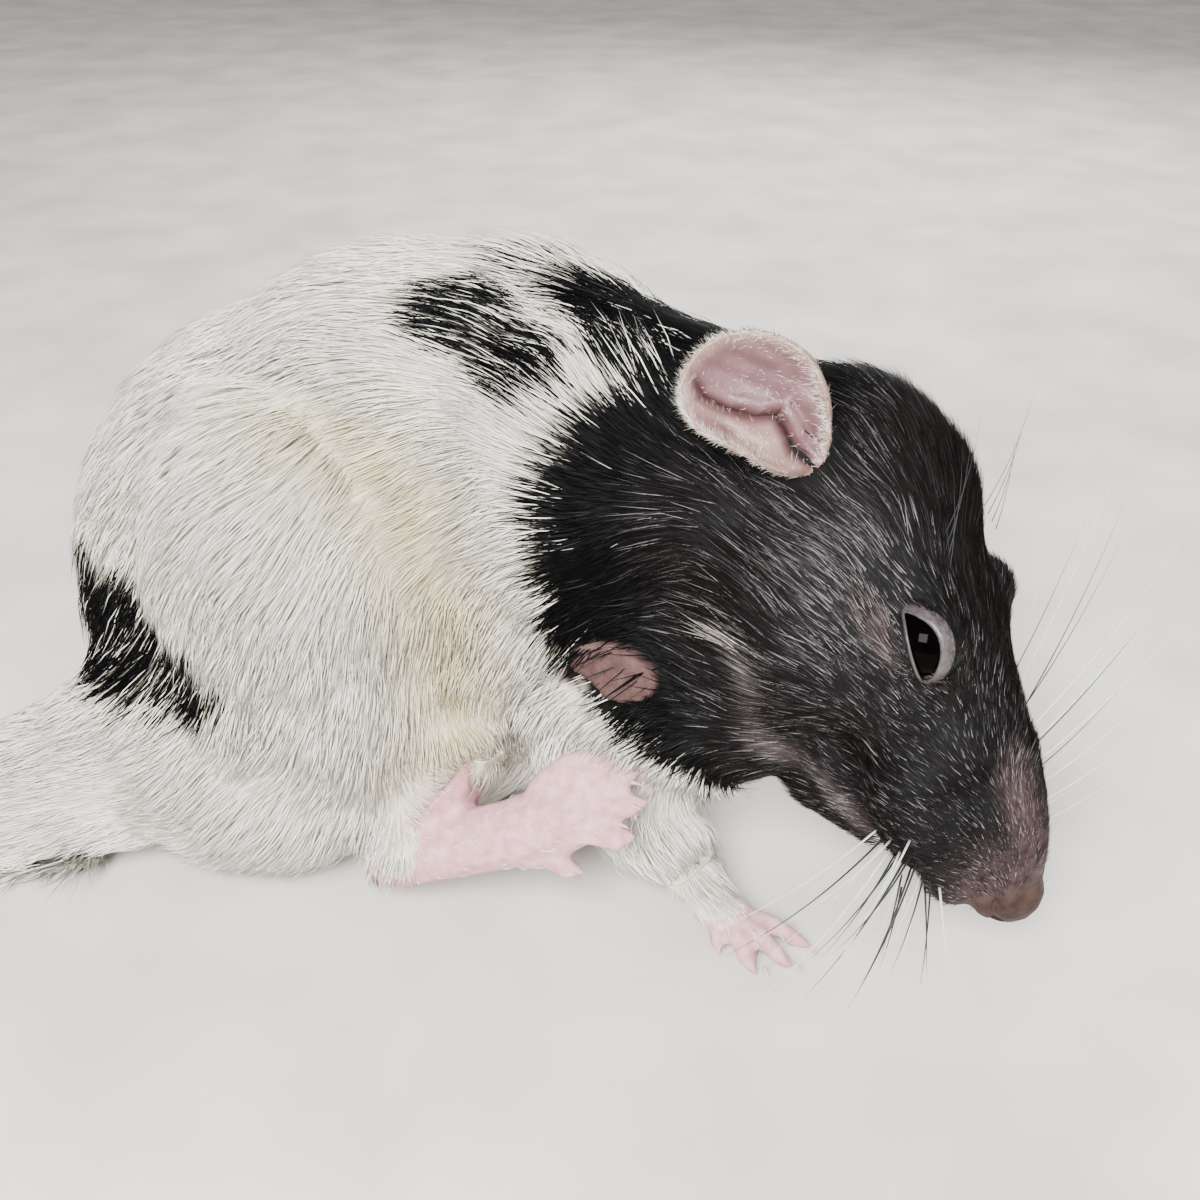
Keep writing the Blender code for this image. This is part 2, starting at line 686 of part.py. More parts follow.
forearm_right = make_right_forearm()
forearm_left = make_left_forearm()
leg_right = make_right_hind_foot()
leg_left = make_left_hind_foot()
paw_right = part_off(forearm_right, "forepaw_right", bare_skin, (9.2, -12.6, 5.0), (0.65, -0.65, -0.38), 40.0)
paw_left = part_off(forearm_left, "forepaw_left", bare_skin, (9.6, 14.8, 5.0), (0.86, 0.10, -0.50), 40.0)
foot_right = part_off(leg_right, "hind_foot_right", bare_skin, (-17.0, -10.0, 9.0), (0.70, -0.62, -0.36), 60.0)
foot_left = part_off(leg_left, "hind_foot_left", bare_skin, (-24.5, 32.0, 7.0), (0.10, 0.30, -0.95), 60.0)
thigh_right = make_thigh(
    "thigh_right",
    (
        ((-29.5, 3.5, 33.5), (17.5, 18.8, 22.5), 0.0),
        ((-28.8, 3.0, 23.0), (17.2, 18.8, 19.0), 0.0),
        ((-35.0, 2.0, 12.5), (20.5, 18.2, 15.0), 0.0),
    ),
    8.5,
    -1.0,
)
thigh_left = make_thigh(
    "thigh_left",
    (
        ((-29.0, 23.5, 32.0), (17.5, 17.5, 22.0), 0.0),
        ((-27.5, 24.0, 22.0), (17.5, 17.5, 19.0), 0.0),
        ((-32.0, 24.0, 12.5), (20.5, 17.2, 15.0), 0.0),
    ),
    16.0,
    1.0,
)
tail = make_tail(4)

seat(thigh_right, torso, rump)
seat(thigh_left, torso, rump)
for arm in (forearm_right, forearm_left):
    arm.data.materials.clear()
    arm.data.materials.append(white_coat)
    seat(arm, torso, head, neck)
for leg, thigh in ((leg_right, thigh_right), (leg_left, thigh_left)):
    leg.data.materials.clear()
    leg.data.materials.append(white_coat)
    seat(leg, thigh, torso, rump)
for foot, thigh in ((foot_right, thigh_right), (foot_left, thigh_left)):
    seat(foot, thigh, torso, forearm_right, head)
seat(tail[0], rump)

for thing in rat_collection.objects:
    cut_floor(thing)

# Centre the model on its own box, so that the origin is under its middle
corners = [vertex.co for thing in rat_collection.objects for vertex in thing.data.vertices]
middle_x = (min(c.x for c in corners) + max(c.x for c in corners)) / 2.0
middle_y = (min(c.y for c in corners) + max(c.y for c in corners)) / 2.0
for thing in rat_collection.objects:
    thing.data.transform(Matrix.Translation((-middle_x, -middle_y, 0.0)))
    triangles = sum(len(face.vertices) - 2 for face in thing.data.polygons)
    print(thing.name, "triangles", triangles)
print("moved by", -middle_x, -middle_y)
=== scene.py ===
# %% [markdown]
# A hooded pet rat, life size, that sits hunched and scratches with its raised
# right hind foot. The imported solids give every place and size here. A smooth skin
# is made from them, and the coat, eyes, ears, feet, tail and whiskers go on it.

# %% Setup
import math
import random

import bmesh
import bpy
import numpy as np
from mathutils import Matrix, Vector
from mathutils.bvhtree import BVHTree

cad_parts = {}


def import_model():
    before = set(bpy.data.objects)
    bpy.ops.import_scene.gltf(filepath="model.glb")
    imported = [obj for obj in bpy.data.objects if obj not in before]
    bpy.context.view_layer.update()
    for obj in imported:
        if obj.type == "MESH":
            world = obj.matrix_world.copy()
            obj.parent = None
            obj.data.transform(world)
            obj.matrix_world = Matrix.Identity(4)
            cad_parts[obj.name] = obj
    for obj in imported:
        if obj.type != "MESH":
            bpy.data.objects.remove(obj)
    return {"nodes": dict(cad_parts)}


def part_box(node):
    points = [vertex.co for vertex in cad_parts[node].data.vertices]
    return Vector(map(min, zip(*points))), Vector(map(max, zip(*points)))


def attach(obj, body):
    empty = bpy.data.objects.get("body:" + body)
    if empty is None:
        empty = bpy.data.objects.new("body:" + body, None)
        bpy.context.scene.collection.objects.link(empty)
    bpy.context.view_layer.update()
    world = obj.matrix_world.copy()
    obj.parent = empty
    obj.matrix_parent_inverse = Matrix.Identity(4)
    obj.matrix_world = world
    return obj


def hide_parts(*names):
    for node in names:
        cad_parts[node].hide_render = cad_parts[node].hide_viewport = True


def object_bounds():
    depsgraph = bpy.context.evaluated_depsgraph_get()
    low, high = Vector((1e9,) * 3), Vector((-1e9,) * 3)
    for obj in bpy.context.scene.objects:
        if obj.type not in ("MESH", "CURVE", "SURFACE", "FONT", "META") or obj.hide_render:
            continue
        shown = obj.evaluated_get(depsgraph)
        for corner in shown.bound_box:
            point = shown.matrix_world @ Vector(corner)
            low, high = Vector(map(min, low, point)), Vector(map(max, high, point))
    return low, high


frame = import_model()
CAD_LOW, CAD_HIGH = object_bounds()
MM = 0.001
chance = np.random.default_rng(7)

# %% [markdown]
# Places are given in millimetres in the rat's own frame, where X is the way it
# faces, Y is its left and Z is up. The head has a frame too, with its origin at
# the tip of the nose. An eyeball is a whole ball in the solids, so the middle of
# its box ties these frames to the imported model.

# %% Frames
HEAD_SCALE = 1.10
NOSE_TIP = Vector((39.6, -21.6, 8.6))
HEAD_FORWARD = Vector((0.345, -0.442, -0.828)).normalized()
HEAD_CROWN = Vector((0.798, -0.327, 0.507))
EYE_RADIUS = 3.3


def eye_place(side):
    """The middle of an eyeball in the head's frame."""
    return Vector((-26.6, 8.3 * side, 4.0))


def eye_axes(side):
    """The way out of an eye, along its opening and up to the crown, in the head's frame."""
    outward = Vector((0.16, side, 0.34)).normalized()
    long_way = Vector((1.0, -0.16 * side, -0.12))
    long_way = (long_way - outward * long_way.dot(outward)).normalized()
    return outward, long_way, long_way.cross(outward) * side


def head_frame():
    left = HEAD_CROWN.cross(HEAD_FORWARD).normalized()
    crown = HEAD_FORWARD.cross(left).normalized()
    matrix = Matrix((HEAD_FORWARD, left, crown)).transposed().to_4x4()
    matrix.translation = NOSE_TIP
    return matrix @ Matrix.Scale(HEAD_SCALE, 4)


HEAD = head_frame()
eye_low, eye_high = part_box("eye_right")
eye_middle = (Vector(eye_low) + Vector(eye_high)) / 2.0
SHIFT = eye_middle - HEAD @ eye_place(-1.0) * MM
print("the rat's frame is moved by", [round(v, 4) for v in SHIFT])


def world(point):
    """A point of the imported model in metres, from one in the rat's frame."""
    return Vector(point) * MM + SHIFT


def head_world(point):
    """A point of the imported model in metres, from one in the head's frame."""
    return world(HEAD @ Vector(point))


def head_way(vector):
    """A unit direction, from one in the head's frame."""
    return (HEAD.to_3x3() @ Vector(vector)).normalized()


def to_rat(points):
    """Points in metres as millimetres in the rat's frame, as an array."""
    return (np.asarray(points) - np.array(SHIFT)) / MM


def to_head(points):
    """Points in metres as points of the head's frame, as an array."""
    back = np.array(HEAD.inverted())
    rat = to_rat(points)
    return rat @ back[:3, :3].T + back[:3, 3]


# %% [markdown]
# A few helpers make objects, modifiers and tubes short to write, and measure how
# far many places are from a line at once.

# %% Helpers
def link(thing):
    bpy.context.scene.collection.objects.link(thing)
    return thing


def mesh_object(name, bm, material=None):
    mesh = bpy.data.meshes.new(name)
    bm.to_mesh(mesh)
    bm.free()
    mesh.polygons.foreach_set("use_smooth", [True] * len(mesh.polygons))
    if material:
        mesh.materials.append(material)
    return link(bpy.data.objects.new(name, mesh))


def bake_modifiers(thing):
    """Replace an object's mesh by what its modifiers make of it."""
    graph = bpy.context.evaluated_depsgraph_get()
    graph.update()
    made = bpy.data.meshes.new_from_object(thing.evaluated_get(graph))
    old = thing.data
    thing.modifiers.clear()
    thing.data = made
    made.name = thing.name
    bpy.data.meshes.remove(old)


def coordinates(mesh):
    values = np.empty(len(mesh.vertices) * 3)
    mesh.vertices.foreach_get("co", values)
    return values.reshape(-1, 3)


def normals_of(mesh):
    values = np.empty(len(mesh.vertices) * 3)
    mesh.vertices.foreach_get("normal", values)
    return values.reshape(-1, 3)


def set_coordinates(mesh, values):
    mesh.vertices.foreach_set("co", values.ravel())
    mesh.update()


def unit(vectors):
    return vectors / np.maximum(np.linalg.norm(vectors, axis=-1, keepdims=True), 1e-12)


def smooth_step(low, high, values):
    t = np.clip((values - low) / (high - low), 0.0, 1.0)
    return t * t * (3.0 - 2.0 * t)


def hill(values, width):
    """A smooth bump that is 1 at 0 and fades over the given width."""
    return np.exp(-((values / width) ** 2))


def line_gap(points, line):
    """Distance from each point to a line through a few places."""
    gap = np.full(len(points), 1.0e9)
    for start, end in zip(np.array(line[:-1]), np.array(line[1:])):
        way = end - start
        along = np.clip((points - start) @ way / (way @ way), 0.0, 1.0)
        gap = np.minimum(gap, np.linalg.norm(points - start - along[:, None] * way, axis=1))
    return gap


def round_row(middle, across, up, radius, sides, flat=1.0):
    """Places round a middle, as one ring of a tube."""
    angles = [2.0 * math.pi * k / sides for k in range(sides)]
    return [middle + (across * (flat * math.cos(a)) + up * math.sin(a)) * radius for a in angles]


def join_rings(bm, rings):
    """Faces between rings of vertices that follow each other."""
    for near, far in zip(rings, rings[1:]):
        for k in range(len(near)):
            after = (k + 1) % len(near)
            bm.faces.new((near[k], near[after], far[after], far[k]))


def add_tube(bm, rows):
    """A tube with closed ends, from rows of places."""
    rings = [[bm.verts.new(place) for place in row] for row in rows]
    join_rings(bm, rings)
    bm.faces.new(rings[0][::-1])
    bm.faces.new(rings[-1])


def wave_noise(points, size, seed=0):
    """Cheap smooth noise from -1 to 1, with lumps of about the given size in mm."""
    draw = np.random.default_rng(seed)
    total = np.zeros(len(points))
    for octave in range(6):
        way = unit(draw.normal(size=3))
        pitch = 2.0 * math.pi / size * draw.uniform(0.6, 1.7)
        total += np.sin(points @ way * pitch + draw.uniform(0.0, 6.28))
    return total / 3.2


# %% [markdown]
# The skin. Copies of the flesh nodes are joined, and a voxel remesh melts them
# into one surface, which closes the thin cuts between them. It is smoothed, then
# sunk by the coat's depth, so that the tips of the fur meet the solids' surface.

# %% Skin
# Sizes in mm: the voxels of each remesh, where the fine snout ends, and the coat
SKIN_VOXEL = 0.5
FOOT_VOXEL = 0.26
SNOUT_VOXEL = 0.24
SNOUT_BACK = -16.5
COAT_DEPTH = 1.15
FEET = ("forepaw_right", "forepaw_left", "hind_foot_right", "hind_foot_left")
FLESH = (
    "torso", "rump", "neck", "head", "muzzle", "lower_jaw",
    "thigh_right", "thigh_left", "lower_leg_right", "lower_leg_left",
    "forearm_right", "forearm_left", *FEET,
)
# The furred ends of the feet: a middle and how far the fur reaches round it
WRISTS = (
    ((10.9, -15.8, 6.1), 4.7),
    ((9.9, 14.2, 5.4), 4.7),
    ((-20.0, -12.4, 8.6), 4.6),
    ((-10.8, -8.8, 17.0), 4.6),
)
NECK_PATCH = (Vector((1.0, -12.9, 30.0)), Vector((4.6, 7.0, 2.7)))
# The crease between the right thigh and the flank
THIGH_FOLD = (
    (-24.6, -1.6, 54.9), (-20.8, -3.4, 53.7), (-17.6, -4.8, 51.5), (-14.5, -6.8, 47.4), (-12.8, -8.7, 42.2),
    (-12.3, -8.7, 35.7), (-11.9, -8.3, 29.6), (-12.1, -7.5, 22.8), (-13.4, -11.8, 19.9),
)


def add_ball(bm, centre, radii):
    """An ellipsoid in the head's frame."""
    matrix = Matrix.Translation(SHIFT) @ Matrix.Scale(MM, 4) @ HEAD @ Matrix.Translation(centre)
    bmesh.ops.create_icosphere(bm, subdivisions=4, radius=1.0, matrix=matrix @ Matrix.Diagonal((*radii, 1.0)))


def join_nodes(names):
    bm = bmesh.new()
    for name in names:
        bm.from_mesh(frame["nodes"][name].data)
    bmesh.ops.remove_doubles(bm, verts=bm.verts, dist=0.000001)
    return bm


def melt(thing, voxel):
    """One closed surface from overlapping or nearly touching solids."""
    remesh = thing.modifiers.new("melt", "REMESH")
    remesh.mode = "VOXEL"
    remesh.voxel_size = voxel * MM
    bake_modifiers(thing)


def lighten(thing, triangles):
    """Leave out the corners that matter least, down to a number of triangles."""
    decimate = thing.modifiers.new("lighten", "DECIMATE")
    decimate.ratio = triangles / (2.0 * len(thing.data.polygons))
    bake_modifiers(thing)


def even_out(thing, times, softness=None):
    """Smooth a mesh, by a share from 0 to 1 at each vertex where one is given."""
    smooth = thing.modifiers.new("smooth", "SMOOTH")
    smooth.factor = 0.5
    smooth.iterations = times
    if softness is not None:
        group = thing.vertex_groups.new(name="soft")
        for step in range(11):
            low = step / 10.0 - 0.05
            chosen = np.nonzero((softness >= low) & (softness < low + 0.1))[0]
            group.add([int(i) for i in chosen], step / 10.0, "REPLACE")
        smooth.vertex_group = "soft"
    bake_modifiers(thing)


def distance_to(points, name):
    """Distance in mm from points to a node's surface, from its own mesh."""
    bm = join_nodes([name])
    tree = BVHTree.FromBMesh(bm)
    bm.free()
    low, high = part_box(name)
    reach = 0.008
    near = np.all((points > np.array(low) - reach) & (points < np.array(high) + reach), axis=1)
    result = np.full(len(points), reach / MM)
    for index in np.nonzero(near)[0]:
        found = tree.find_nearest(Vector(points[index]), reach)
        if found[0] is not None:
            result[index] = found[3] / MM
    return result


def nearest_foot(points):
    return np.min([distance_to(points, name) for name in FEET], axis=0)


def arm_gap(points):
    return np.min([distance_to(points, name) for name in ("forearm_right", "forearm_left")], axis=0)


def fur_gap(points):
    """Distance from the bare feet, where the fur of a wrist counts as off the foot."""
    return np.maximum(nearest_foot(points), wrist_cover(points))


def wrist_cover(points):
    """How far inside the furred end of a foot a place is."""
    rat = to_rat(points)
    inside = [reach - np.linalg.norm(rat - np.array(wrist), axis=1) for wrist, reach in WRISTS]
    return 1.5 * np.max(inside, axis=0)


def patch_amount(points):
    """1 on the thinly haired place on the side of the neck, for points in mm."""
    centre, radii = NECK_PATCH
    away = np.linalg.norm((points - np.array(centre)) / np.array(radii), axis=1)
    return smooth_step(1.06, 0.9, away + 0.05 * wave_noise(points, 3.0, 9))


# %% [markdown]
# The eye opening is nearly straight towards the cheek and rounded towards the
# crown. Skin inside it is drawn back behind the eyeball, and skin round it is
# kept just outside the ball, where the lids will lie.

# %% Eye opening
EYE_HALF = 3.0
EYE_LOWER = -0.85
EYE_UPPER = 1.05
BALL = EYE_RADIUS / HEAD_SCALE


def upper_edge(t):
    """How far up the crown side of the opening reaches, from its rear corner at -1 to its front one at 1."""
    bow = np.maximum(0.0, 1.0 - t * t)
    return EYE_LOWER + (EYE_UPPER - EYE_LOWER) * bow ** 0.7 * (1.0 - 0.34 * t)


def opening_outline(count):
    """Points round the eye opening: along it, and up towards the crown."""
    spots = []
    for step in range(count):
        angle = 2.0 * math.pi * step / count
        t = math.cos(angle)
        bow = max(0.0, 1.0 - t * t)
        if math.sin(angle) >= 0.0:
            up = float(upper_edge(t))
        else:
            up = EYE_LOWER - 0.25 * bow
        spots.append((t * EYE_HALF, up))
    return np.array(spots)


def eye_coordinates(head_points, side):
    """Coordinates along, up and out of an eye, from points of the head's frame."""
    outward, long_way, upward = eye_axes(side)
    away = head_points - np.array(eye_place(side))
    return np.stack([away @ np.array(long_way), away @ np.array(upward), away @ np.array(outward)], axis=1)


def opening_gap(local):
    """Distance outside the opening's outline, negative inside it."""
    outline = opening_outline(72)
    gap = np.full(len(local), 99.0)
    for spot in outline:
        gap = np.minimum(gap, np.hypot(local[:, 0] - spot[0], local[:, 1] - spot[1]))
    t = np.clip(local[:, 0] / EYE_HALF, -1.0, 1.0)
    bow = 1.0 - t * t
    upper = upper_edge(t)
    inside = (np.abs(local[:, 0]) < EYE_HALF) & (local[:, 1] < upper) & (local[:, 1] > EYE_LOWER - 0.25 * bow)
    return np.where(inside, -gap, gap)


def open_eyes(head_points):
    """Draw the skin back in the openings and keep it off the ball round them."""
    result = head_points.copy()
    for side in (-1.0, 1.0):
        local = eye_coordinates(head_points, side)
        away = np.linalg.norm(local, axis=1)
        near = (away < 5.2) & (local[:, 2] > -0.8)
        gap = opening_gap(local)
        target = np.where(gap < -0.12, BALL - 0.7, np.maximum(away, BALL + 0.30))
        target = np.where(near, target, away)
        middle = np.array(eye_place(side))
        result += (head_points - middle) * ((target / away) - 1.0)[:, None]
    return result


# %% Skin made
def add_pads(bm):
    """The whisker pads, without their whiskers, and the core of the nose."""
    for side in (-1.0, 1.0):
        add_ball(bm, (-12.5, 4.6 * side, -2.6), (7.2, 4.4, 4.8))
        add_ball(bm, (-5.2, 3.0 * side, -2.6), (3.6, 2.8, 3.1))
    add_ball(bm, (-2.6, 0.0, 0.6), (3.2, 3.2, 3.2))


def make_body():
    bm = join_nodes(FLESH)
    add_pads(bm)
    for side in (-1.0, 1.0):
        add_ball(bm, (-44.0, 10.6 * side, 0.0), (4.2, 3.2, 4.4))
        add_ball(bm, eye_place(side), (BALL + 0.45,) * 3)
    body = mesh_object("skin", bm)
    melt(body, SKIN_VOXEL)
    return body


skin = make_body()
points = coordinates(skin.data)
foot_gap = nearest_foot(points)
even_out(skin, 26, 0.15 + 0.85 * smooth_step(0.3, 4.0, foot_gap))

points = coordinates(skin.data)
head_points = to_head(points)
nose_gap = np.linalg.norm(head_points - np.array((-2.5, 0.0, 0.4)), axis=1)
sink = COAT_DEPTH * smooth_step(0.0, 5.0, foot_gap)
sink = sink * (1.0 - 0.5 * smooth_step(2.5, 0.5, arm_gap(points)))
sink = sink * (0.30 + 0.70 * smooth_step(5.0, 34.0, nose_gap))
sink = sink * (1.0 - 0.8 * patch_amount(to_rat(points)))
sink = sink + 0.45 * hill(line_gap(to_rat(points), THIGH_FOLD), 2.2)
sink = sink + 0.8 * smooth_step(SNOUT_BACK + 2.0, SNOUT_BACK + 5.0, head_points[:, 0])
points = points - normals_of(skin.data) * sink[:, None] * MM
opened = open_eyes(to_head(points))
rotation = np.array(HEAD)
changed = np.linalg.norm(opened - to_head(points), axis=1) > 0.001
moved = (opened @ rotation[:3, :3].T + rotation[:3, 3]) * MM + np.array(SHIFT)
points[changed] = moved[changed]
points[:, 2] = np.maximum(points[:, 2], 0.00002)
set_coordinates(skin.data, points)
print("skin vertices", len(skin.data.vertices))


# %% [markdown]
# The feet and the snout are made again from their own solids, more finely, and
# laid over the coarse skin. The snout gets its nostrils, the wings beside them,
# the groove under the nose and the shallow groove along its top.

# %% Feet and snout
def sculpted_snout(head_points):
    """How far the snout's skin stands out from a smooth shape, in mm."""
    push = np.zeros(len(head_points))
    for side in (-1.0, 1.0):
        wing = np.linalg.norm(head_points - np.array((-2.3, 3.3 * side, 0.5)), axis=1)
        nostril = ((0.7, 2.3 * side, -0.6), (-0.9, 3.7 * side, 0.0), (-1.9, 4.2 * side, 0.7))
        nostril = line_gap(head_points, nostril)
        crease = ((-3.3, 2.6 * side, -1.6), (-4.0, 4.0 * side, 0.3), (-4.6, 3.9 * side, 2.2))
        crease = line_gap(head_points, crease)
        push += 0.32 * hill(wing, 1.2) - 0.85 * hill(nostril, 0.42) - 0.34 * hill(crease, 0.38)
    under = line_gap(head_points, ((1.6, 0.0, -0.8), (0.2, 0.0, -2.8), (-2.0, 0.0, -4.4)))
    flat = head_points * np.array((1.0, 1.0, 0.0))
    bridge = line_gap(flat, ((-4.8, -1.2, 0.0), (-8.5, -2.4, 0.0), (-13.5, -2.0, 0.0)))
    groove = 0.25 * hill(bridge - 1.3, 0.6) - 0.42 * hill(bridge, 0.5)
    return push - 0.35 * hill(under, 0.35) + groove * smooth_step(1.0, 3.0, head_points[:, 2])


def make_snout():
    """A fine skin for the front of the head, cut off where the cheeks begin."""
    bm = join_nodes(("nose", "muzzle", "lower_jaw"))
    bm.normal_update()
    for vertex in bm.verts:
        vertex.co += vertex.normal * (0.17 * MM)
    add_pads(bm)
    snout = mesh_object("snout", bm)
    melt(snout, SNOUT_VOXEL)
    even_out(snout, 9)
    bm = bmesh.new()
    bm.from_mesh(snout.data)
    bmesh.ops.bisect_plane(
        bm, geom=bm.verts[:] + bm.edges[:] + bm.faces[:],
        plane_co=head_world((SNOUT_BACK, 0.0, 0.0)), plane_no=head_way((-1.0, 0.0, 0.0)), clear_outer=True,
    )
    bmesh.ops.holes_fill(bm, edges=[edge for edge in bm.edges if edge.is_boundary])
    bm.to_mesh(snout.data)
    bm.free()
    points = coordinates(snout.data)
    local = to_head(points)
    tip_gap = np.linalg.norm(local - np.array((-2.5, 0.0, 0.4)), axis=1)
    depth = 0.17 + COAT_DEPTH * (0.22 + 0.70 * smooth_step(5.0, 34.0, tip_gap))
    depth = depth * smooth_step(1.0, 5.0, tip_gap)
    depth = depth + 1.2 * smooth_step(SNOUT_BACK + 3.5, SNOUT_BACK + 0.5, local[:, 0])
    push = sculpted_snout(local) - depth
    set_coordinates(snout.data, points + normals_of(snout.data) * push[:, None] * MM)
    return snout


def tree_of(meshes):
    bm = bmesh.new()
    for mesh in meshes:
        bm.from_mesh(mesh)
    tree = BVHTree.FromBMesh(bm)
    bm.free()
    return tree


def lay_over(body, fine):
    """Add a finer mesh to the skin."""
    bm = bmesh.new()
    bm.from_mesh(body.data)
    bm.from_mesh(fine.data)
    bm.to_mesh(body.data)
    bm.free()
    bpy.data.objects.remove(fine, do_unlink=True)


points = coordinates(skin.data)
foot_gap = nearest_foot(points)
points = points - normals_of(skin.data) * (0.35 * smooth_step(1.0, 0.2, foot_gap))[:, None] * MM
points[:, 2] = np.maximum(points[:, 2], 0.00002)
set_coordinates(skin.data, points)
carrier = skin.copy()
carrier.data = skin.data.copy()
snout = make_snout()
feet = mesh_object("feet", join_nodes(FEET))
melt(feet, FOOT_VOXEL)
even_out(feet, 9)
points = coordinates(feet.data)
depth = 1.3 * smooth_step(0.0, 3.0, wrist_cover(points))
set_coordinates(feet.data, points - normals_of(feet.data) * depth[:, None] * MM)
skin_tree = tree_of((skin.data, snout.data, feet.data))
for piece, triangles in ((skin, 78000), (snout, 56000), (feet, 58000)):
    lighten(piece, triangles)
lay_over(skin, snout)
lay_over(skin, feet)
skin.data.polygons.foreach_set("use_smooth", [True] * len(skin.data.polygons))
skin.data.calc_loop_triangles()
print("skin triangles with feet and snout", len(skin.data.loop_triangles))


# %% [markdown]
# The markings of a hooded rat: a black hood over the head and shoulders, a
# mottled patch on the back and another low on the rump. Each is a soft shape in
# the rat's frame, and its edge is broken up by noise, so that black and white
# hairs mix there. The skin and the coat read the same function.

# %% Markings
# The hood's rear edge: its X for a height Z
HOOD_EDGE = (
    (15.0, 13.0), (17.2, 9.9), (20.6, 5.8), (23.7, 1.9), (25.3, -2.4), (29.4, -5.0), (36.5, -6.5),
    (41.2, -7.2), (45.2, -7.3), (49.9, -6.2), (52.6, -4.4), (54.5, -2.2), (55.5, 0.7), (56.5, 3.5),
    (57.9, 5.8), (60.0, 9.0), (66.0, 14.0),
)
# Patches: centre, radii and how black they are
PATCHES = (
    (Vector((-12.6, 2.2, 60.2)), Vector((6.4, 5.2, 4.4)), 0.80),
    (Vector((-7.8, -2.4, 57.4)), Vector((5.2, 5.0, 4.2)), 0.84),
    (Vector((2.4, 5.6, 60.4)), Vector((8.0, 5.8, 4.2)), 0.98),
    (Vector((4.2, -1.6, 58.4)), Vector((6.6, 4.6, 3.6)), 0.86),
    (Vector((-6.0, 7.4, 62.4)), Vector((6.6, 5.0, 4.0)), 0.4),
    (Vector((-51.0, 3.0, 27.0)), Vector((10.5, 17.0, 7.4)), 0.90),
    (Vector((-43.0, -8.6, 25.6)), Vector((8.6, 5.8, 5.0)), 0.8),
    (Vector((-22.0, 33.0, 50.0)), Vector((8.5, 8.0, 9.0)), 0.7),
)


def blackness(points):
    """How black the coat is, from 0 to 1, at points of the rat's frame in mm."""
    points = np.asarray(points)
    fringe = wave_noise(points, 5.0, 3) * 0.9 + wave_noise(points, 1.6, 4) * 0.8
    table = np.array(HOOD_EDGE)
    edge = np.interp(points[:, 2], table[:, 0], table[:, 1])
    edge = edge + 0.30 * np.maximum(0.0, points[:, 1] - 14.0)
    depth = points[:, 0] - edge
    low = smooth_step(13.5, 17.5, points[:, 2] + 0.30 * np.maximum(0.0, points[:, 0] - 14.0))
    face, local = head_amount(points)
    hood = smooth_step(-1.3, 1.3, depth + fringe) * np.maximum(low, face)
    black = hood
    for centre, radii, strength in PATCHES:
        away = np.linalg.norm((points - np.array(centre)) / np.array(radii), axis=1)
        spot = smooth_step(1.12, 0.74, away + fringe * 0.07)
        black = np.maximum(black, spot * strength)
    return black


def head_amount(points):
    """1 on the face, 0 behind the ears, for points of the rat's frame in mm."""
    back = np.array(HEAD.inverted())
    local = points @ back[:3, :3].T + back[:3, 3]
    inside = smooth_step(-51.0, -42.0, local[:, 0])
    near = smooth_step(20.5, 16.5, np.hypot(local[:, 1], local[:, 2] + 2.0))
    return inside * near, local


# %% [markdown]
# Materials. Each is a short chain of shader nodes before one shader: fine noise in
# the object's own space, or an attribute of the mesh, picks a colour on a ramp.
# The class below makes such chains quick to write. The coat and the skin under it
# mix black and white by the same attribute, so that they agree at each marking.

# %% Materials
class Paint:
    """A material, with the few kinds of shader node that this model needs."""

    def __init__(self, name):
        self.material = bpy.data.materials.new(name)
        self.material.use_nodes = True
        self.nodes = self.material.node_tree.nodes
        self.links = self.material.node_tree.links
        self.shader = self.nodes["Principled BSDF"]

    def attribute(self, name, output="Fac"):
        node = self.nodes.new("ShaderNodeAttribute")
        node.attribute_name = name
        return node.outputs[output]

    def noise(self, scale, detail):
        place = self.nodes.new("ShaderNodeTexCoord")
        node = self.nodes.new("ShaderNodeTexNoise")
        node.inputs["Scale"].default_value = scale
        node.inputs["Detail"].default_value = detail
        self.links.new(place.outputs["Object"], node.inputs["Vector"])
        return node.outputs["Fac"]

    def ramp(self, source, *stops):
        """Colours along a factor, where each stop is a place from 0 to 1 and a colour."""
        node = self.nodes.new("ShaderNodeValToRGB")
        elements = node.color_ramp.elements
        while len(elements) < len(stops):
            elements.new(0.5)
        for element, (place, *colour) in zip(elements, stops):
            element.position = place
            element.color = (*colour, 1.0)
        self.links.new(source, node.inputs[0])
        return node.outputs[0]

    def mix(self, factor, first, second):
        node = self.nodes.new("ShaderNodeMix")
        node.data_type = "RGBA"
        for socket, source in ((0, factor), (6, first), (7, second)):
            self.links.new(source, node.inputs[socket])
        return node.outputs[2]

    def relief(self, height, strength, distance):
        node = self.nodes.new("ShaderNodeBump")
        node.inputs["Strength"].default_value = strength
        node.inputs["Distance"].default_value = distance
        self.links.new(height, node.inputs["Height"])
        self.links.new(node.outputs["Normal"], self.shader.inputs["Normal"])

    def set(self, colour, roughness, gloss=0.5):
        self.links.new(colour, self.shader.inputs["Base Color"])
        self.shader.inputs["Roughness"].default_value = roughness
        self.shader.inputs["Specular IOR Level"].default_value = gloss
        return self.material

    def glow(self, weight, radius):
        """Let light spread a little way under thin skin."""
        self.shader.inputs["Subsurface Weight"].default_value = weight
        self.shader.inputs["Subsurface Radius"].default_value = radius
        self.shader.inputs["Subsurface Scale"].default_value = 1.0


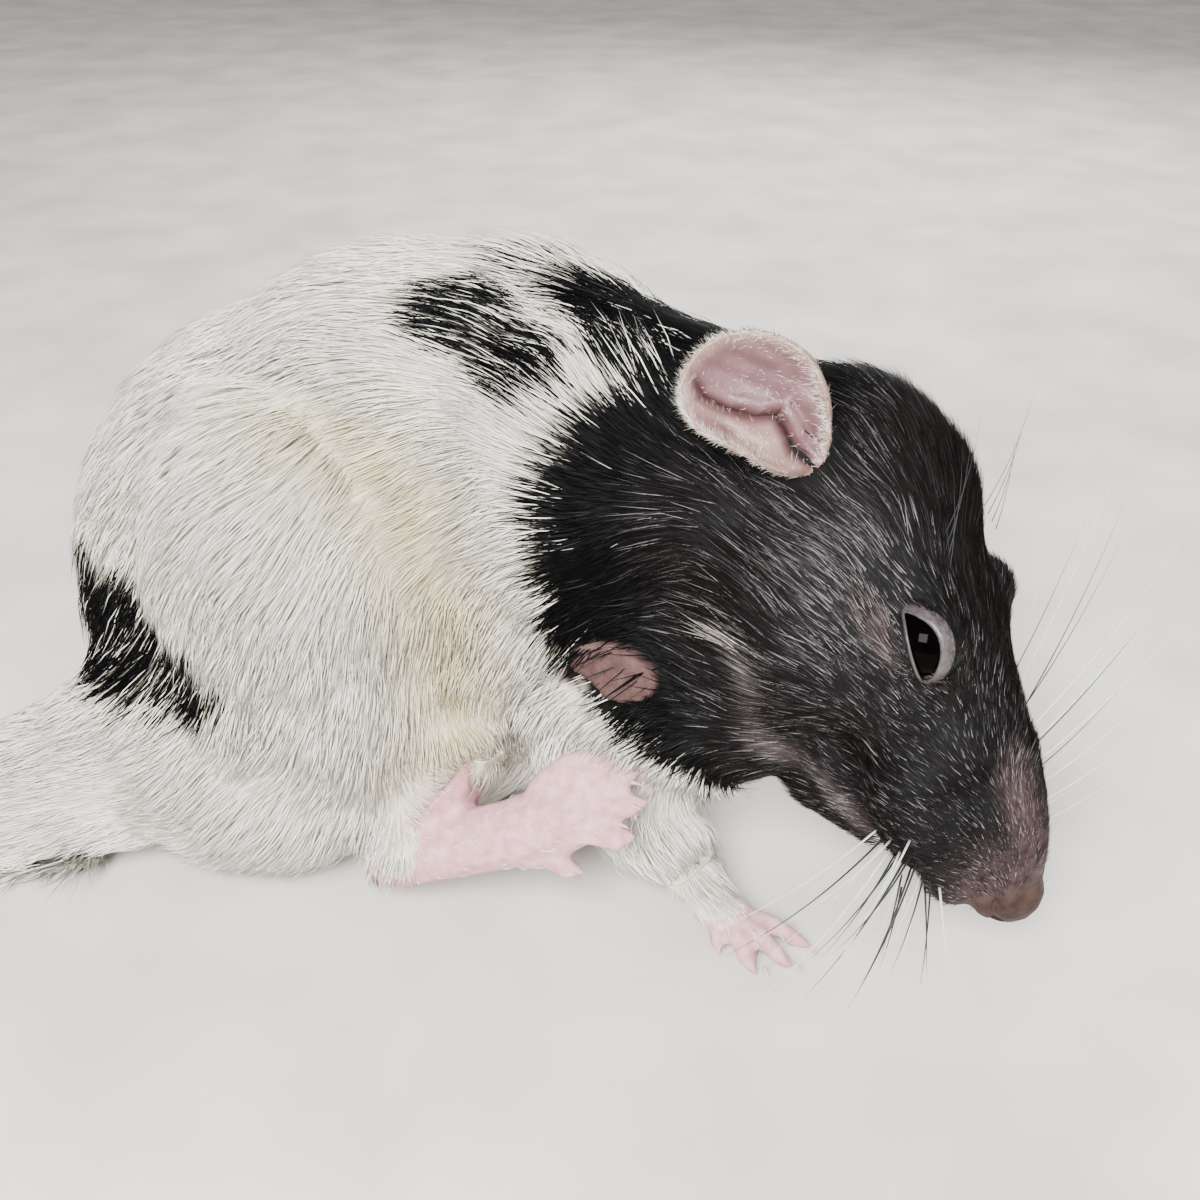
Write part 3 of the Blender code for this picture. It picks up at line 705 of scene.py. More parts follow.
def make_coat_material():
    """Hair: darker at the root, paler at the tip, with black, white and cream hairs; the palest dark hairs
    are painted glints and the cream is partly painted shade.
    """
    paint = Paint("coat")
    names = ("along", "tone_and_glint", "black", "face", "cream_and_fold_shade", "rosy")
    along, tone_and_glint, black, face, cream_and_fold_shade, rosy = [paint.attribute(name) for name in names]
    white_hair = paint.ramp(along, (0.0, 0.80, 0.74, 0.61), (0.45, 0.90, 0.86, 0.76), (1.0, 0.95, 0.92, 0.84))
    # Cream hair is painted shade by the thigh crease, and a slight real cream tint elsewhere
    cream_shade_hair = paint.ramp(along, (0.0, 0.50, 0.40, 0.20), (0.5, 0.66, 0.57, 0.34), (1.0, 0.80, 0.73, 0.53))
    # Most dark hairs are nearly black, and a few are painted paler, as glints of light
    black_hair = paint.ramp(
        tone_and_glint, (0.0, 0.0015, 0.0015, 0.002), (0.86, 0.003, 0.003, 0.0035), (1.0, 0.026, 0.026, 0.028),
    )
    # Dark hairs of the face are brownish black; the palest stops are painted glints of light
    face_hair = paint.ramp(
        tone_and_glint, (0.0, 0.004, 0.0035, 0.003), (0.50, 0.012, 0.010, 0.0095), (0.75, 0.028, 0.025, 0.025),
        (0.90, 0.090, 0.084, 0.086), (1.0, 0.31, 0.295, 0.30),
    )
    rosy_hair = paint.ramp(
        tone_and_glint, (0.0, 0.022, 0.015, 0.014), (0.2, 0.06, 0.044, 0.043), (0.6, 0.17, 0.135, 0.135),
        (1.0, 0.40, 0.34, 0.35),
    )
    dark = paint.mix(rosy, paint.mix(face, black_hair, face_hair), rosy_hair)
    colour = paint.mix(black, paint.mix(cream_and_fold_shade, white_hair, cream_shade_hair), dark)
    spread = paint.nodes.new("ShaderNodeMapRange")
    spread.inputs["To Min"].default_value = 0.84
    spread.inputs["To Max"].default_value = 1.14
    paint.links.new(tone_and_glint, spread.inputs["Value"])
    shade = paint.nodes.new("ShaderNodeHueSaturation")
    paint.links.new(spread.outputs[0], shade.inputs["Value"])
    paint.links.new(colour, shade.inputs["Color"])
    # Each hair is shaded partly as the skin under it, so that the coat looks soft
    blend = paint.nodes.new("ShaderNodeVectorMath")
    blend.operation = "MULTIPLY_ADD"
    blend.inputs[1].default_value = (1.6, 1.6, 1.6)
    paint.links.new(paint.attribute("lie", "Vector"), blend.inputs[0])
    paint.links.new(paint.nodes.new("ShaderNodeNewGeometry").outputs["Normal"], blend.inputs[2])
    evened = paint.nodes.new("ShaderNodeVectorMath")
    evened.operation = "NORMALIZE"
    paint.links.new(blend.outputs[0], evened.inputs[0])
    paint.links.new(evened.outputs[0], paint.shader.inputs["Normal"])
    return paint.set(shade.outputs[0], 0.42, 0.05)


def make_skin_material():
    """Skin under the coat, pink where it is bare, in the coat's own colours elsewhere."""
    paint = Paint("rat_skin")
    grain = paint.noise(900.0, 4.0)
    white_down = paint.ramp(grain, (0.3, 0.58, 0.50, 0.41), (0.7, 0.74, 0.68, 0.59))
    dark_down = paint.ramp(grain, (0.3, 0.003, 0.003, 0.003), (0.7, 0.007, 0.007, 0.007))
    colour = paint.mix(paint.attribute("black"), white_down, dark_down)
    layers = (
        ("patch", ((0.3, 0.057, 0.031, 0.029), (0.7, 0.11, 0.062, 0.057))),
        ("rosy", ((0.3, 0.034, 0.018, 0.018), (0.7, 0.085, 0.054, 0.056))),
        ("pad", ((0.3, 0.026, 0.015, 0.012), (0.7, 0.056, 0.034, 0.028))),
        ("bare", ((0.25, 0.46, 0.21, 0.23), (0.5, 0.58, 0.31, 0.33), (0.75, 0.67, 0.42, 0.44))),
    )
    for name, stops in layers:
        colour = paint.mix(paint.attribute(name), colour, paint.ramp(grain, *stops))
    paint.relief(paint.noise(5200.0, 3.0), 0.45, 0.0003)
    return paint.set(colour, 0.55, 0.10)


def make_ear_material():
    """Thin pink skin of the ears, paler along the rim, with painted shade darkening the crease, the canal and
    the pit.
    """
    paint = Paint("ear_skin")
    grain = paint.noise(420.0, 5.0)
    pink = paint.ramp(grain, (0.25, 0.095, 0.043, 0.046), (0.5, 0.14, 0.07, 0.075), (0.8, 0.19, 0.112, 0.118))
    edge = paint.ramp(grain, (0.25, 0.21, 0.115, 0.10), (0.75, 0.30, 0.19, 0.165))
    # Painted shade for the crease, the canal and the pit
    ear_shade = paint.ramp(grain, (0.25, 0.055, 0.019, 0.018), (0.75, 0.10, 0.038, 0.036))
    colour = paint.mix(paint.attribute("rim"), pink, edge)
    colour = paint.mix(paint.attribute("ear_shade"), colour, ear_shade)
    paint.relief(paint.noise(3800.0, 3.0), 0.4, 0.00015)
    paint.glow(0.15, (0.0012, 0.0004, 0.0003))
    return paint.set(colour, 0.48)


def make_tail_material():
    """Bare tail skin, darker in the grooves between its rings of scales."""
    paint = Paint("tail_skin")
    grain = paint.noise(1500.0, 4.0)
    scale = paint.ramp(grain, (0.25, 0.44, 0.27, 0.24), (0.55, 0.62, 0.44, 0.40), (0.8, 0.74, 0.58, 0.53))
    groove = paint.ramp(grain, (0.0, 0.34, 0.22, 0.19), (1.0, 0.34, 0.22, 0.19))
    paint.relief(grain, 0.4, 0.0002)
    return paint.set(paint.mix(paint.attribute("groove"), scale, groove), 0.55)


def make_eye_material():
    paint = Paint("eye")
    tone = paint.ramp(paint.noise(700.0, 2.0), (0.3, 0.0004, 0.0003, 0.0003), (0.8, 0.0015, 0.0008, 0.0007))
    return paint.set(tone, 0.05, 0.02)


def make_lid_material():
    paint = Paint("lid")
    grain = paint.noise(2200.0, 4.0)
    paint.relief(grain, 0.4, 0.00012)
    return paint.set(paint.ramp(grain, (0.3, 0.034, 0.027, 0.029), (0.7, 0.080, 0.064, 0.068)), 0.4)


def make_plain_material(name, colour, roughness, scale=1200.0):
    """A simple horn, hair or floor colour with a little grain."""
    paint = Paint(name)
    darker = [0.75 * value for value in colour]
    return paint.set(paint.ramp(paint.noise(scale, 2.0), (0.3, *darker), (0.7, *colour)), roughness)


coat_material = make_coat_material()
skin_material = make_skin_material()
ear_material = make_ear_material()
eye_material = make_eye_material()
lid_material = make_lid_material()
tail_material = make_tail_material()
claw_material = make_plain_material("claw", (0.66, 0.47, 0.42), 0.3)
pale_whisker = make_plain_material("whisker_white", (0.86, 0.84, 0.80), 0.35)
dark_whisker = make_plain_material("whisker_black", (0.02, 0.02, 0.022), 0.3)
skin.data.materials.append(skin_material)
print("materials", len(bpy.data.materials))


# %% [markdown]
# Every vertex of the skin gets its marking, and how bare it is: the feet are pink
# and nearly bare, the snout shows mauve skin through thin hair, and a thin place
# on the side of the neck shows brownish skin.

# %% Skin attributes
def write_attribute(mesh, name, values, kind="FLOAT"):
    layer = mesh.attributes.new(name, kind, "POINT")
    key = "vector" if kind == "FLOAT_VECTOR" else "value"
    layer.data.foreach_set(key, np.asarray(values, dtype=np.float32).ravel())


# The line along the lip ridge, from the white tuft on the cheek, where hairs are paler: partly paler fur,
# partly a painted highlight; in the head's frame, right side
LIP_PALE_SHEEN_LINE = (
    (-31.2, -13.7, -10.8), (-29.3, -14.0, -8.9), (-24.5, -11.7, -9.6), (-21.3, -9.9, -11.1),
    (-17.8, -6.6, -11.0), (-14.2, -4.9, -10.0), (-11.3, -3.9, -9.3), (-8.5, -3.4, -8.4), (-5.0, -3.6, -5.6),
)


def lip_pale_sheen_amount(head_points):
    """1 along the lip ridge's line of paler fur and painted highlight, on both sides."""
    mirrored = head_points * np.array((1.0, -1.0, 1.0))
    folded = np.where(head_points[:, 1:2] > 0.0, mirrored, head_points)
    return smooth_step(1.9, 0.5, line_gap(folded, LIP_PALE_SHEEN_LINE))


def rosiness(head_points):
    """How much the skin shows on the snout and round the eyes, from 0 to 1."""
    gap = np.linalg.norm((head_points - np.array((-1.0, 0.0, 1.0))) / np.array((1.3, 1.0, 1.0)), axis=1)
    amount = 0.9 * smooth_step(9.0, 2.8, gap)
    bridge = line_gap(head_points, ((-3.0, -1.0, 4.0), (-8.5, -2.8, 5.0), (-12.5, -2.8, 5.6)))
    amount = np.maximum(amount, 0.85 * smooth_step(3.0, 0.6, bridge))
    # Along the lip ridge skin and hair are paler and rosier: partly paler fur, partly a painted highlight
    amount = np.maximum(amount, 0.38 * lip_pale_sheen_amount(head_points))
    folded = np.abs(head_points) * np.array((1.0, 1.0, -1.0))
    lip = np.linalg.norm((folded - np.array((7.0, 3.6, -6.0))) / np.array((5.5, 3.0, 1.7)), axis=1)
    lip = np.where(head_points[:, 2] < 0.0, lip, 9.0)
    amount = np.maximum(amount, 0.7 * smooth_step(1.2, 0.5, lip))
    for side in (-1.0, 1.0):
        place = np.array((-28.0, 10.8 * side, 1.6))
        gap = np.linalg.norm((head_points - place) / np.array((3.6, 2.2, 1.6)), axis=1)
        amount = np.maximum(amount, 0.45 * smooth_step(1.2, 0.3, gap))
    return amount


def pad_amount(head_points):
    """1 on the rough pad of the nose."""
    front = smooth_step(-4.0, -2.2, head_points[:, 0] - 0.12 * np.abs(head_points[:, 1]))
    return front * smooth_step(-3.4, -2.2, head_points[:, 2])


skin_points = coordinates(skin.data)
rat_points = to_rat(skin_points)
foot_gap = fur_gap(skin_points)
black = blackness(rat_points)
bare = smooth_step(1.3, 0.3, foot_gap)
black = black * (1.0 - bare)
write_attribute(skin.data, "black", black)
write_attribute(skin.data, "bare", bare)
write_attribute(skin.data, "patch", patch_amount(rat_points))
write_attribute(skin.data, "rosy", rosiness(to_head(skin_points)))
write_attribute(skin.data, "pad", pad_amount(to_head(skin_points)))
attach(skin, "root")
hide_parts(*FLESH, "nose", "whisker_pad_right", "whisker_pad_left")

# %% [markdown]
# The lie of the coat. Each guide is a place and the way the hair points there. A
# hair takes the mean of the guides, weighted by nearness, turned into the plane
# of the skin.

# %% Lie of the coat
# On the head, a guide off the middle stands for one on each side
HEAD_GUIDES = (
    ((-2.0, 0.0, 3.0), (-1.0, 0.0, 0.3)),
    ((-8.0, 5.0, 2.0), (-1.0, 0.4, 0.1)),
    ((-10.0, 6.0, -5.0), (-0.8, 0.5, -0.6)),
    ((-18.0, 0.0, 8.0), (-1.0, 0.0, 0.2)),
    ((-24.0, 9.0, 0.0), (-1.0, 0.3, -0.25)),
    ((-32.0, 0.0, 11.0), (-1.0, 0.0, 0.0)),
    ((-34.0, 13.0, -3.0), (-1.0, 0.3, -0.45)),
    ((-30.0, 8.0, -14.0), (-0.9, 0.2, -0.6)),
    ((-14.0, 0.0, -14.0), (-1.0, 0.0, -0.2)),
    ((-7.0, 5.0, 0.0), (-0.7, 0.7, -0.5)),
)
BODY_GUIDES = (
    ((14.0, 2.0, 57.0), (-1.0, 0.1, 0.1)),
    ((2.0, 4.0, 61.0), (-1.0, 0.0, -0.05)),
    ((-15.0, 10.0, 64.0), (-1.0, 0.0, -0.05)),
    ((-35.0, 10.0, 58.0), (-1.0, -0.1, -0.6)),
    ((-52.0, 10.0, 44.0), (-0.6, -0.1, -1.0)),
    ((-60.0, 8.0, 25.0), (-0.4, -0.4, -1.0)),
    ((4.0, -12.0, 40.0), (-0.9, 0.1, -0.45)),
    ((0.0, -13.0, 28.0), (-0.75, 0.0, -0.75)),
    ((4.0, -10.0, 16.0), (-0.2, -0.3, -1.0)),
    ((-12.0, -9.0, 48.0), (-0.9, 0.0, -0.55)),
    ((-8.0, -12.0, 32.0), (-0.55, -0.1, -0.9)),
    ((-28.0, -8.0, 48.0), (-0.75, -0.2, -0.8)),
    ((-28.0, -15.0, 32.0), (-0.35, -0.1, -1.0)),
    ((-14.0, -12.0, 30.0), (-0.10, -0.2, -1.0)),
    ((-45.0, -10.0, 30.0), (-0.5, 0.1, -1.0)),
    ((-30.0, -16.0, 12.0), (-0.65, 0.0, -0.7)),
    ((-48.0, -12.0, 10.0), (-1.0, 0.0, -0.25)),
    ((-60.0, -6.0, 15.0), (-1.0, -0.1, -0.25)),
    ((-66.0, -6.0, 5.0), (-1.0, -0.1, -0.1)),
    ((-20.0, -11.0, 8.0), (-0.2, -0.3, -0.6)),
    ((8.0, -12.0, 10.0), (0.6, -0.5, -0.6)),
    ((0.0, 28.0, 38.0), (-0.8, 0.1, -0.6)),
    ((-28.0, 36.0, 45.0), (-0.75, 0.2, -0.8)),
    ((-28.0, 40.0, 28.0), (-0.35, 0.1, -1.0)),
    ((-48.0, 34.0, 25.0), (-0.6, -0.2, -0.8)),
    ((8.0, 16.0, 10.0), (0.6, 0.3, -0.6)),
    ((10.0, 12.0, 25.0), (-0.3, 0.3, -0.9)),
    ((-10.0, 12.0, 4.0), (-1.0, 0.0, 0.0)),
    ((-5.5, -2.3, 57.8), (-0.85, 0.45, 0.15)),
    ((-2.5, -6.2, 55.4), (-0.66, 0.62, 0.35)),
    ((-3.8, -8.7, 52.7), (-0.8, 0.45, 0.25)),
    ((3.8, -5.1, 56.6), (-0.4, 0.8, 0.3)),
    ((-15.0, -15.5, 12.5), (0.7, -0.3, 0.5)),
    ((-6.0, -18.0, 18.0), (0.8, -0.3, 0.1)),
    ((14.5, -19.0, 3.5), (0.4, -0.8, -0.4)),
    ((8.0, -16.0, 8.0), (0.75, -0.4, -0.4)),
    ((14.0, 15.0, 3.5), (0.9, 0.1, -0.4)),
    ((-15.0, 35.0, 4.5), (1.0, 0.0, 0.0)),
)


def guide_table():
    guides = [(Vector(place), Vector(way).normalized()) for place, way in BODY_GUIDES]
    for (x, y, z), (run, aside, up) in HEAD_GUIDES:
        for side in (-1.0, 1.0) if y else (1.0,):
            guides.append((HEAD @ Vector((x, y * side, z)), head_way((run, aside * side, up))))
    return np.array([place for place, way in guides]), np.array([way for place, way in guides])


guide_places, guide_ways = guide_table()


def lie_of_coat(points, normals):
    """The way the hair points at each place of the rat's frame, along the skin."""
    total = np.zeros_like(points)
    for place, way in zip(guide_places, guide_ways):
        away = np.sum((points - place) ** 2, axis=1)
        total += (1.0 / (away + 6.0) ** 2)[:, None] * way
    flat = total - normals * np.sum(total * normals, axis=1, keepdims=True)
    return unit(flat)


# %% [markdown]
# The coat. Roots are drawn at random over a light copy of the skin, which also
# carries an unwrap, so each hair knows its place on that unwrap, and are set on
# the fine skin. On the body a hair is a thin three-sided spike that bends down
# towards the skin, over a layer of shorter straight ones. On the face and feet the
# hairs are shorter still. Hairs that stand near each other lean into small locks.

# %% Coat roots
LONG_HAIRS = 64000
UNDER_HAIRS = 80000
FACE_HAIRS = 128000


def unwrap_carrier(carrier):
    """Make the copy of the skin lighter and unwrap its own shape."""
    link(carrier)
    lighten(carrier, 16000)
    bpy.ops.object.select_all(action="DESELECT")
    carrier.select_set(True)
    bpy.context.view_layer.objects.active = carrier
    bpy.ops.object.mode_set(mode="EDIT")
    bpy.ops.mesh.select_all(action="SELECT")
    bpy.ops.uv.smart_project(angle_limit=math.radians(66.0), island_margin=0.004)
    bpy.ops.object.mode_set(mode="OBJECT")


def triangle_table(mesh):
    mesh.calc_loop_triangles()
    count = len(mesh.loop_triangles)
    corners = np.empty(count * 3, dtype=np.int32)
    loops = np.empty(count * 3, dtype=np.int32)
    mesh.loop_triangles.foreach_get("vertices", corners)
    mesh.loop_triangles.foreach_get("loops", loops)
    uv = np.empty(len(mesh.loops) * 2)
    mesh.uv_layers.active.data.foreach_get("uv", uv)
    return corners.reshape(-1, 3), loops.reshape(-1, 3), uv.reshape(-1, 2)


def draw_roots(mesh, count, density):
    """Random places on the skin, with their normals and their places on the unwrap."""
    corners, loops, uv = triangle_table(mesh)
    places = coordinates(mesh)
    ways = normals_of(mesh)
    a, b, c = (places[corners[:, k]] for k in range(3))
    area = 0.5 * np.linalg.norm(np.cross(b - a, c - a), axis=1)
    area = area * density((a + b + c) / 3.0, ways[corners].mean(axis=1))
    picks = chance.choice(len(area), size=count, p=area / area.sum())
    r1 = np.sqrt(chance.random(count))
    r2 = chance.random(count)
    weights = np.stack([1.0 - r1, r1 * (1.0 - r2), r1 * r2], axis=1)
    roots = np.einsum("ij,ijk->ik", weights, places[corners[picks]])
    normals = unit(np.einsum("ij,ijk->ik", weights, ways[corners[picks]]))
    uvs = np.einsum("ij,ijk->ik", weights, uv[loops[picks]])
    for index in range(count):
        place, outward = Vector(roots[index]), Vector(normals[index])
        hit = skin_tree.ray_cast(place + outward * (1.9 * MM), -outward, 2.6 * MM)
        if hit[0] is None or hit[1].dot(outward) < 0.2:
            hit = skin_tree.find_nearest(place)
        roots[index] = hit[0]
    return roots, normals, uvs


def body_density(points, normals):
    amount = 1.0 - smooth_step(0.45, 0.95, head_amount(to_rat(points))[0])
    under = smooth_step(-0.4, -0.9, normals[:, 2])
    return amount * (1.0 - 0.85 * under) + 0.0001


def face_density(points, normals):
    face, local = head_amount(to_rat(points))
    snout = smooth_step(-30.0, -12.0, local[:, 0])
    amount = smooth_step(0.1, 0.7, face) * (1.0 + 1.3 * snout)
    ankle = smooth_step(8.0, 3.0, fur_gap(points))
    return amount + 0.35 * ankle + 0.0001


unwrap_carrier(carrier)


# %% [markdown]
# Each hair gets its length, lean and direction. Some are left out: on the bare
# feet, in the eye openings, on the nose, and where the neck shows skin.

# %% Coat shape
def lock_mean(values, lock, members):
    sums = [np.bincount(lock, values[:, k]) for k in range(3)]
    return np.stack(sums, axis=1)[lock] / members[lock][:, None]


EAR_HEIGHT = 14.0
EAR_WIDTH = 12.2
EAR_ROOT = {"right": 1.6, "left": -4.0}
EAR_SWEEP = {"right": -0.5, "left": -2.2}


def ear_frame(side, word):
    base = Vector((-43.7, 12.2 * side, EAR_ROOT[word]))
    along = head_way((-1.0, 0.20 * side, EAR_SWEEP[word]))
    face_way = head_way((-0.25, side, 0.25))
    across = face_way.cross(along).normalized()
    face_way = along.cross(across).normalized()
    return head_world(base), along, across, face_way


def under_ear(points):
    """True where a place lies under or inside one of the ears."""
    hidden = np.zeros(len(points), dtype=bool)
    for side, word in ((-1.0, "right"), (1.0, "left")):
        base, along, across, face_way = ear_frame(side, word)
        away = (points - np.array(base)) / MM
        x = away @ np.array(across) / (0.5 * EAR_WIDTH)
        y = away @ np.array(along) / (0.5 * EAR_HEIGHT) - 0.82
        hidden |= (np.hypot(x / 0.80, y) < 0.97) & (np.abs(away @ np.array(face_way)) < 5.0)
    return hidden


def lay_clear(points, ways, clearance):
    """Lift the places that would lie under the skin, as in a hollow, to just over it."""
    for index in range(len(points)):
        place = Vector(points[index])
        outward = Vector(ways[index])
        hit = skin_tree.ray_cast(place + outward * (1.5 * MM), -outward, 1.5 * MM + clearance)
        if hit[0] is not None and hit[1].dot(outward) > 0.1:
            points[index] = hit[0] + outward * clearance


def eye_gap_of(head_points):
    """Distance of places on the face from the nearer eye opening."""
    result = np.full(len(head_points), 99.0)
    for side in (-1.0, 1.0):
        local = eye_coordinates(head_points, side)
        near = (np.linalg.norm(local, axis=1) < 9.0) & (local[:, 2] > -1.0)
        gap = opening_gap(local) - np.where(local[:, 1] > 0.2, 0.55, 0.15)
        result = np.where(near, np.minimum(result, gap), result)
    return result


# For each kind: width in mm, lock size in mm, how far hairs lean into their lock
KINDS = {
    "long": (0.15, 1.7, 0.16),
    "under": (0.125, 1.3, 0.10),
    "face": (0.095, 1.0, 0.10),
}


def hair_lengths(kind, rat, face, head_local, foot_gap, eye_gap):
    if kind == "face":
        back = smooth_step(-8.0, -42.0, head_local[:, 0])
        cheek = smooth_step(-10.0, -24.0, head_local[:, 0]) * smooth_step(0.0, -8.0, head_local[:, 2])
        length = 1.6 + 2.6 * back + 0.9 * cheek
        length = np.where(face < 0.05, 0.8 + 0.40 * np.clip(foot_gap, 0.0, 8.0), length)
        length = np.where(foot_gap < 0.4, 0.5, length)
    else:
        length = 6.8 if kind == "long" else 4.3
        length = length + 0.8 * wave_noise(rat, 14.0, 21)
        length = length * (1.0 - 0.35 * smooth_step(0.2, 0.9, face))
        length = length * (0.26 + 0.74 * smooth_step(0.0, 7.5, foot_gap))
    length = length * (0.40 + 0.60 * smooth_step(-0.2, 3.4, eye_gap))
    return length * chance.uniform(0.72, 1.2, len(rat))


def grow_coat(roots, normals, uvs, kind):
    """Everything about a set of hairs, as arrays of one row a hair."""
    width, size, pull = KINDS[kind]
    rat = to_rat(roots)
    face, head_local = head_amount(rat)
    foot_gap = fur_gap(roots)
    eye_gap = eye_gap_of(head_local)
    rosy = rosiness(head_local)
    pad = pad_amount(head_local)
    length = hair_lengths(kind, rat, face, head_local, foot_gap, eye_gap)
    way = lie_of_coat(rat, normals)
    draw = chance.random(len(roots))
    keep = (eye_gap > 0.0) & (roots[:, 2] > 0.0004)
    keep &= draw > 0.96 * np.maximum(patch_amount(rat), patch_amount(rat + way * length[:, None] * 0.6))
    keep &= draw > np.maximum(0.25 * rosy, 0.985 * pad)
    reached = roots + (way + 0.3 * normals) * length[:, None] * MM
    keep &= ~(under_ear(roots) | under_ear(reached)) | (draw > 0.93)
    keep &= draw > smooth_step(1.8, -0.2, foot_gap) * (0.985 if kind == "face" else 1.0)
    columns = roots, normals, uvs, rat, face, head_local, foot_gap, rosy, length, way
    columns = [column[keep] for column in columns]
    roots, normals, uvs, rat, face, head_local, foot_gap, rosy, length, way = columns
    count = len(roots)
    lift = 0.12 + 0.05 * chance.normal(size=count) + 0.04 * wave_noise(rat, 6.0, 22)
    lift = np.clip(lift, 0.04, 0.40) * (1.4 if kind == "face" else 1.0)
    lift = lift + 0.10 * hill(line_gap(rat, THIGH_FOLD), 3.0) + 0.22 * smooth_step(3.0, 1.0, arm_gap(roots))
    side_way = np.cross(normals, way)
    swing = 0.16 * wave_noise(rat, 9.0, 23) + 0.12 * chance.normal(size=count)
    way = unit(way + side_way * swing[:, None])
    jitter = np.stack([wave_noise(rat, 3.0, seed) for seed in (31, 32, 33)], axis=1)
    cells = np.floor(rat / size + 0.35 * jitter).astype(np.int64)
    lock = np.unique(cells, axis=0, return_inverse=True)[1].ravel()
    members = np.bincount(lock).astype(float)
    reach = length[:, None] * MM
    raise_tip = normals * (lift[:, None] * reach * 0.66)
    mid = roots + way * reach * 0.5 + raise_tip
    tip = roots + way * reach + raise_tip * 1.02
    tip = tip * (1.0 - pull) + lock_mean(tip, lock, members) * pull
    mid = mid * (1.0 - 0.4 * pull) + lock_mean(mid, lock, members) * (0.4 * pull)
    lay_clear(mid, normals, 0.10 * MM)
    lay_clear(tip, normals, 0.14 * MM)
    tip[:, 2] = np.maximum(tip[:, 2], 0.0002)
    mid[:, 2] = np.maximum(mid[:, 2], 0.0003)
    black, tone_and_glint = hair_tones(to_rat(mid), foot_gap, face, head_local)
    wide = 0.5 * width * chance.uniform(0.75, 1.25, count) * (1.0 - 0.3 * rosy)
    return {
        "root": roots, "mid": mid, "tip": tip, "normal": normals, "uv": uvs, "wide": wide,
        "values": {
            "black": black,
            "tone_and_glint": tone_and_glint,
            "face": np.clip(face * 1.1, 0.0, 1.0) * (1.0 if kind == "face" else 0.35),
            "rosy": rosy,
            # Painted shade in the thigh crease, tinted cream, plus a little real cream at random
            "cream_and_fold_shade": np.clip(fold_shade_amount(rat) + 0.12 * chance.random(count), 0.0, 1.0),
        },
    }


def hair_tones(middles, foot_gap, face, head_local):
    """Which hairs are black, and how bright each one is among its kind, which also picks the hairs painted
    paler as glints.
    """
    mark = blackness(middles) * smooth_step(0.5, 3.0, foot_gap)
    speck = chance.random(len(mark))
    lip_pale_sheen = lip_pale_sheen_amount(head_local)
    tuft = smooth_step(-27.5, -30.0, head_local[:, 0]) * lip_pale_sheen
    chin = np.linalg.norm((head_local - np.array((-5.4, -0.8, -7.2))) / np.array((3.6, 3.4, 2.6)), axis=1)
    tuft = np.maximum(0.45 * tuft, 0.95 * smooth_step(1.2, 0.6, chin))
    hair_black = np.where(speck < mark * (1.0 - tuft), 1.0, 0.0)
    hair_black = np.where((mark > 0.9) & (speck > 0.996) & (face < 0.2), 0.0, hair_black)
    # Painted glints: between the eye and the ear the most dark hairs get high values, which the coat's ramps
    # paint paler as glints of light
    folded = np.stack([head_local[:, 0], np.abs(head_local[:, 1]), head_local[:, 2]], axis=1)
    gloss = np.linalg.norm((folded - np.array((-31.0, 11.0, 1.0))) / np.array((13.0, 7.0, 8.5)), axis=1)
    tone_and_glint = chance.random(len(mark)) ** (3.0 - 2.3 * smooth_step(1.3, 0.3, gloss) * face)
    # Fewer painted glints on the crown
    tone_and_glint = np.where(head_local[:, 2] > 7.0, tone_and_glint * 0.85, tone_and_glint)
    # Along the lip ridge the hairs are paler: partly paler fur, partly a painted highlight
    tone_and_glint = np.where(lip_pale_sheen > 0.3, 1.0 - (1.0 - tone_and_glint) * (1.0 - 0.55 * lip_pale_sheen), tone_and_glint)
    return hair_black, tone_and_glint


def fold_shade_amount(rat):
    """Painted shade: the coat is tinted cream in and behind the crease of the thigh, where shade falls, and
    whiter elsewhere.
    """
    fold = line_gap(rat, THIGH_FOLD)
    ahead = rat[:, 0] > np.interp(rat[:, 2], (15.0, 35.0, 47.0, 55.0), (-13.0, -12.3, -14.5, -24.0))
    cream_and_fold_shade = np.where(ahead, 0.70 * smooth_step(7.0, 0.0, fold), 0.92 * smooth_step(13.0, 1.0, fold))
    return cream_and_fold_shade * smooth_step(58.0, 50.0, rat[:, 2])


# %% [markdown]
# The hairs become joined meshes, built from arrays, in pieces that stay light.

# %% Coat pieces
PATCH_ACROSS = 0.003
# The triangles of a bent hair, of two rings and a tip, and of a straight one
LONG_PATTERN = np.array([
    (0, 1, 4), (0, 4, 3), (1, 2, 5), (1, 5, 4), (2, 0, 3), (2, 3, 5),
    (3, 4, 6), (4, 5, 6), (5, 3, 6), (0, 2, 1),
])
SHORT_PATTERN = np.array([(0, 1, 3), (1, 2, 3), (2, 0, 3), (0, 2, 1)])


def ring(middle, along, outward, radius):
    """Three corners round a hair."""
    across = unit(np.cross(along, outward))
    up = np.cross(across, along)
    corners = []
    for k in range(3):
        angle = 2.0 * math.pi * k / 3.0 + 0.5 * math.pi
        offset = across * math.cos(angle) + up * (0.7 * math.sin(angle))
        corners.append(middle + offset * radius[:, None])
    return corners


def mesh_from_triangles(name, places, faces):
    mesh = bpy.data.meshes.new(name)
    mesh.vertices.add(len(places))
    mesh.vertices.foreach_set("co", places.reshape(-1))
    mesh.loops.add(faces.size)
    mesh.loops.foreach_set("vertex_index", faces.ravel().astype(np.int32))
    mesh.polygons.add(len(faces))
    mesh.polygons.foreach_set("loop_start", np.arange(0, faces.size, 3, dtype=np.int32))
    mesh.polygons.foreach_set("use_smooth", np.ones(len(faces), dtype=bool))
    mesh.update()
    mesh.validate()
    return mesh


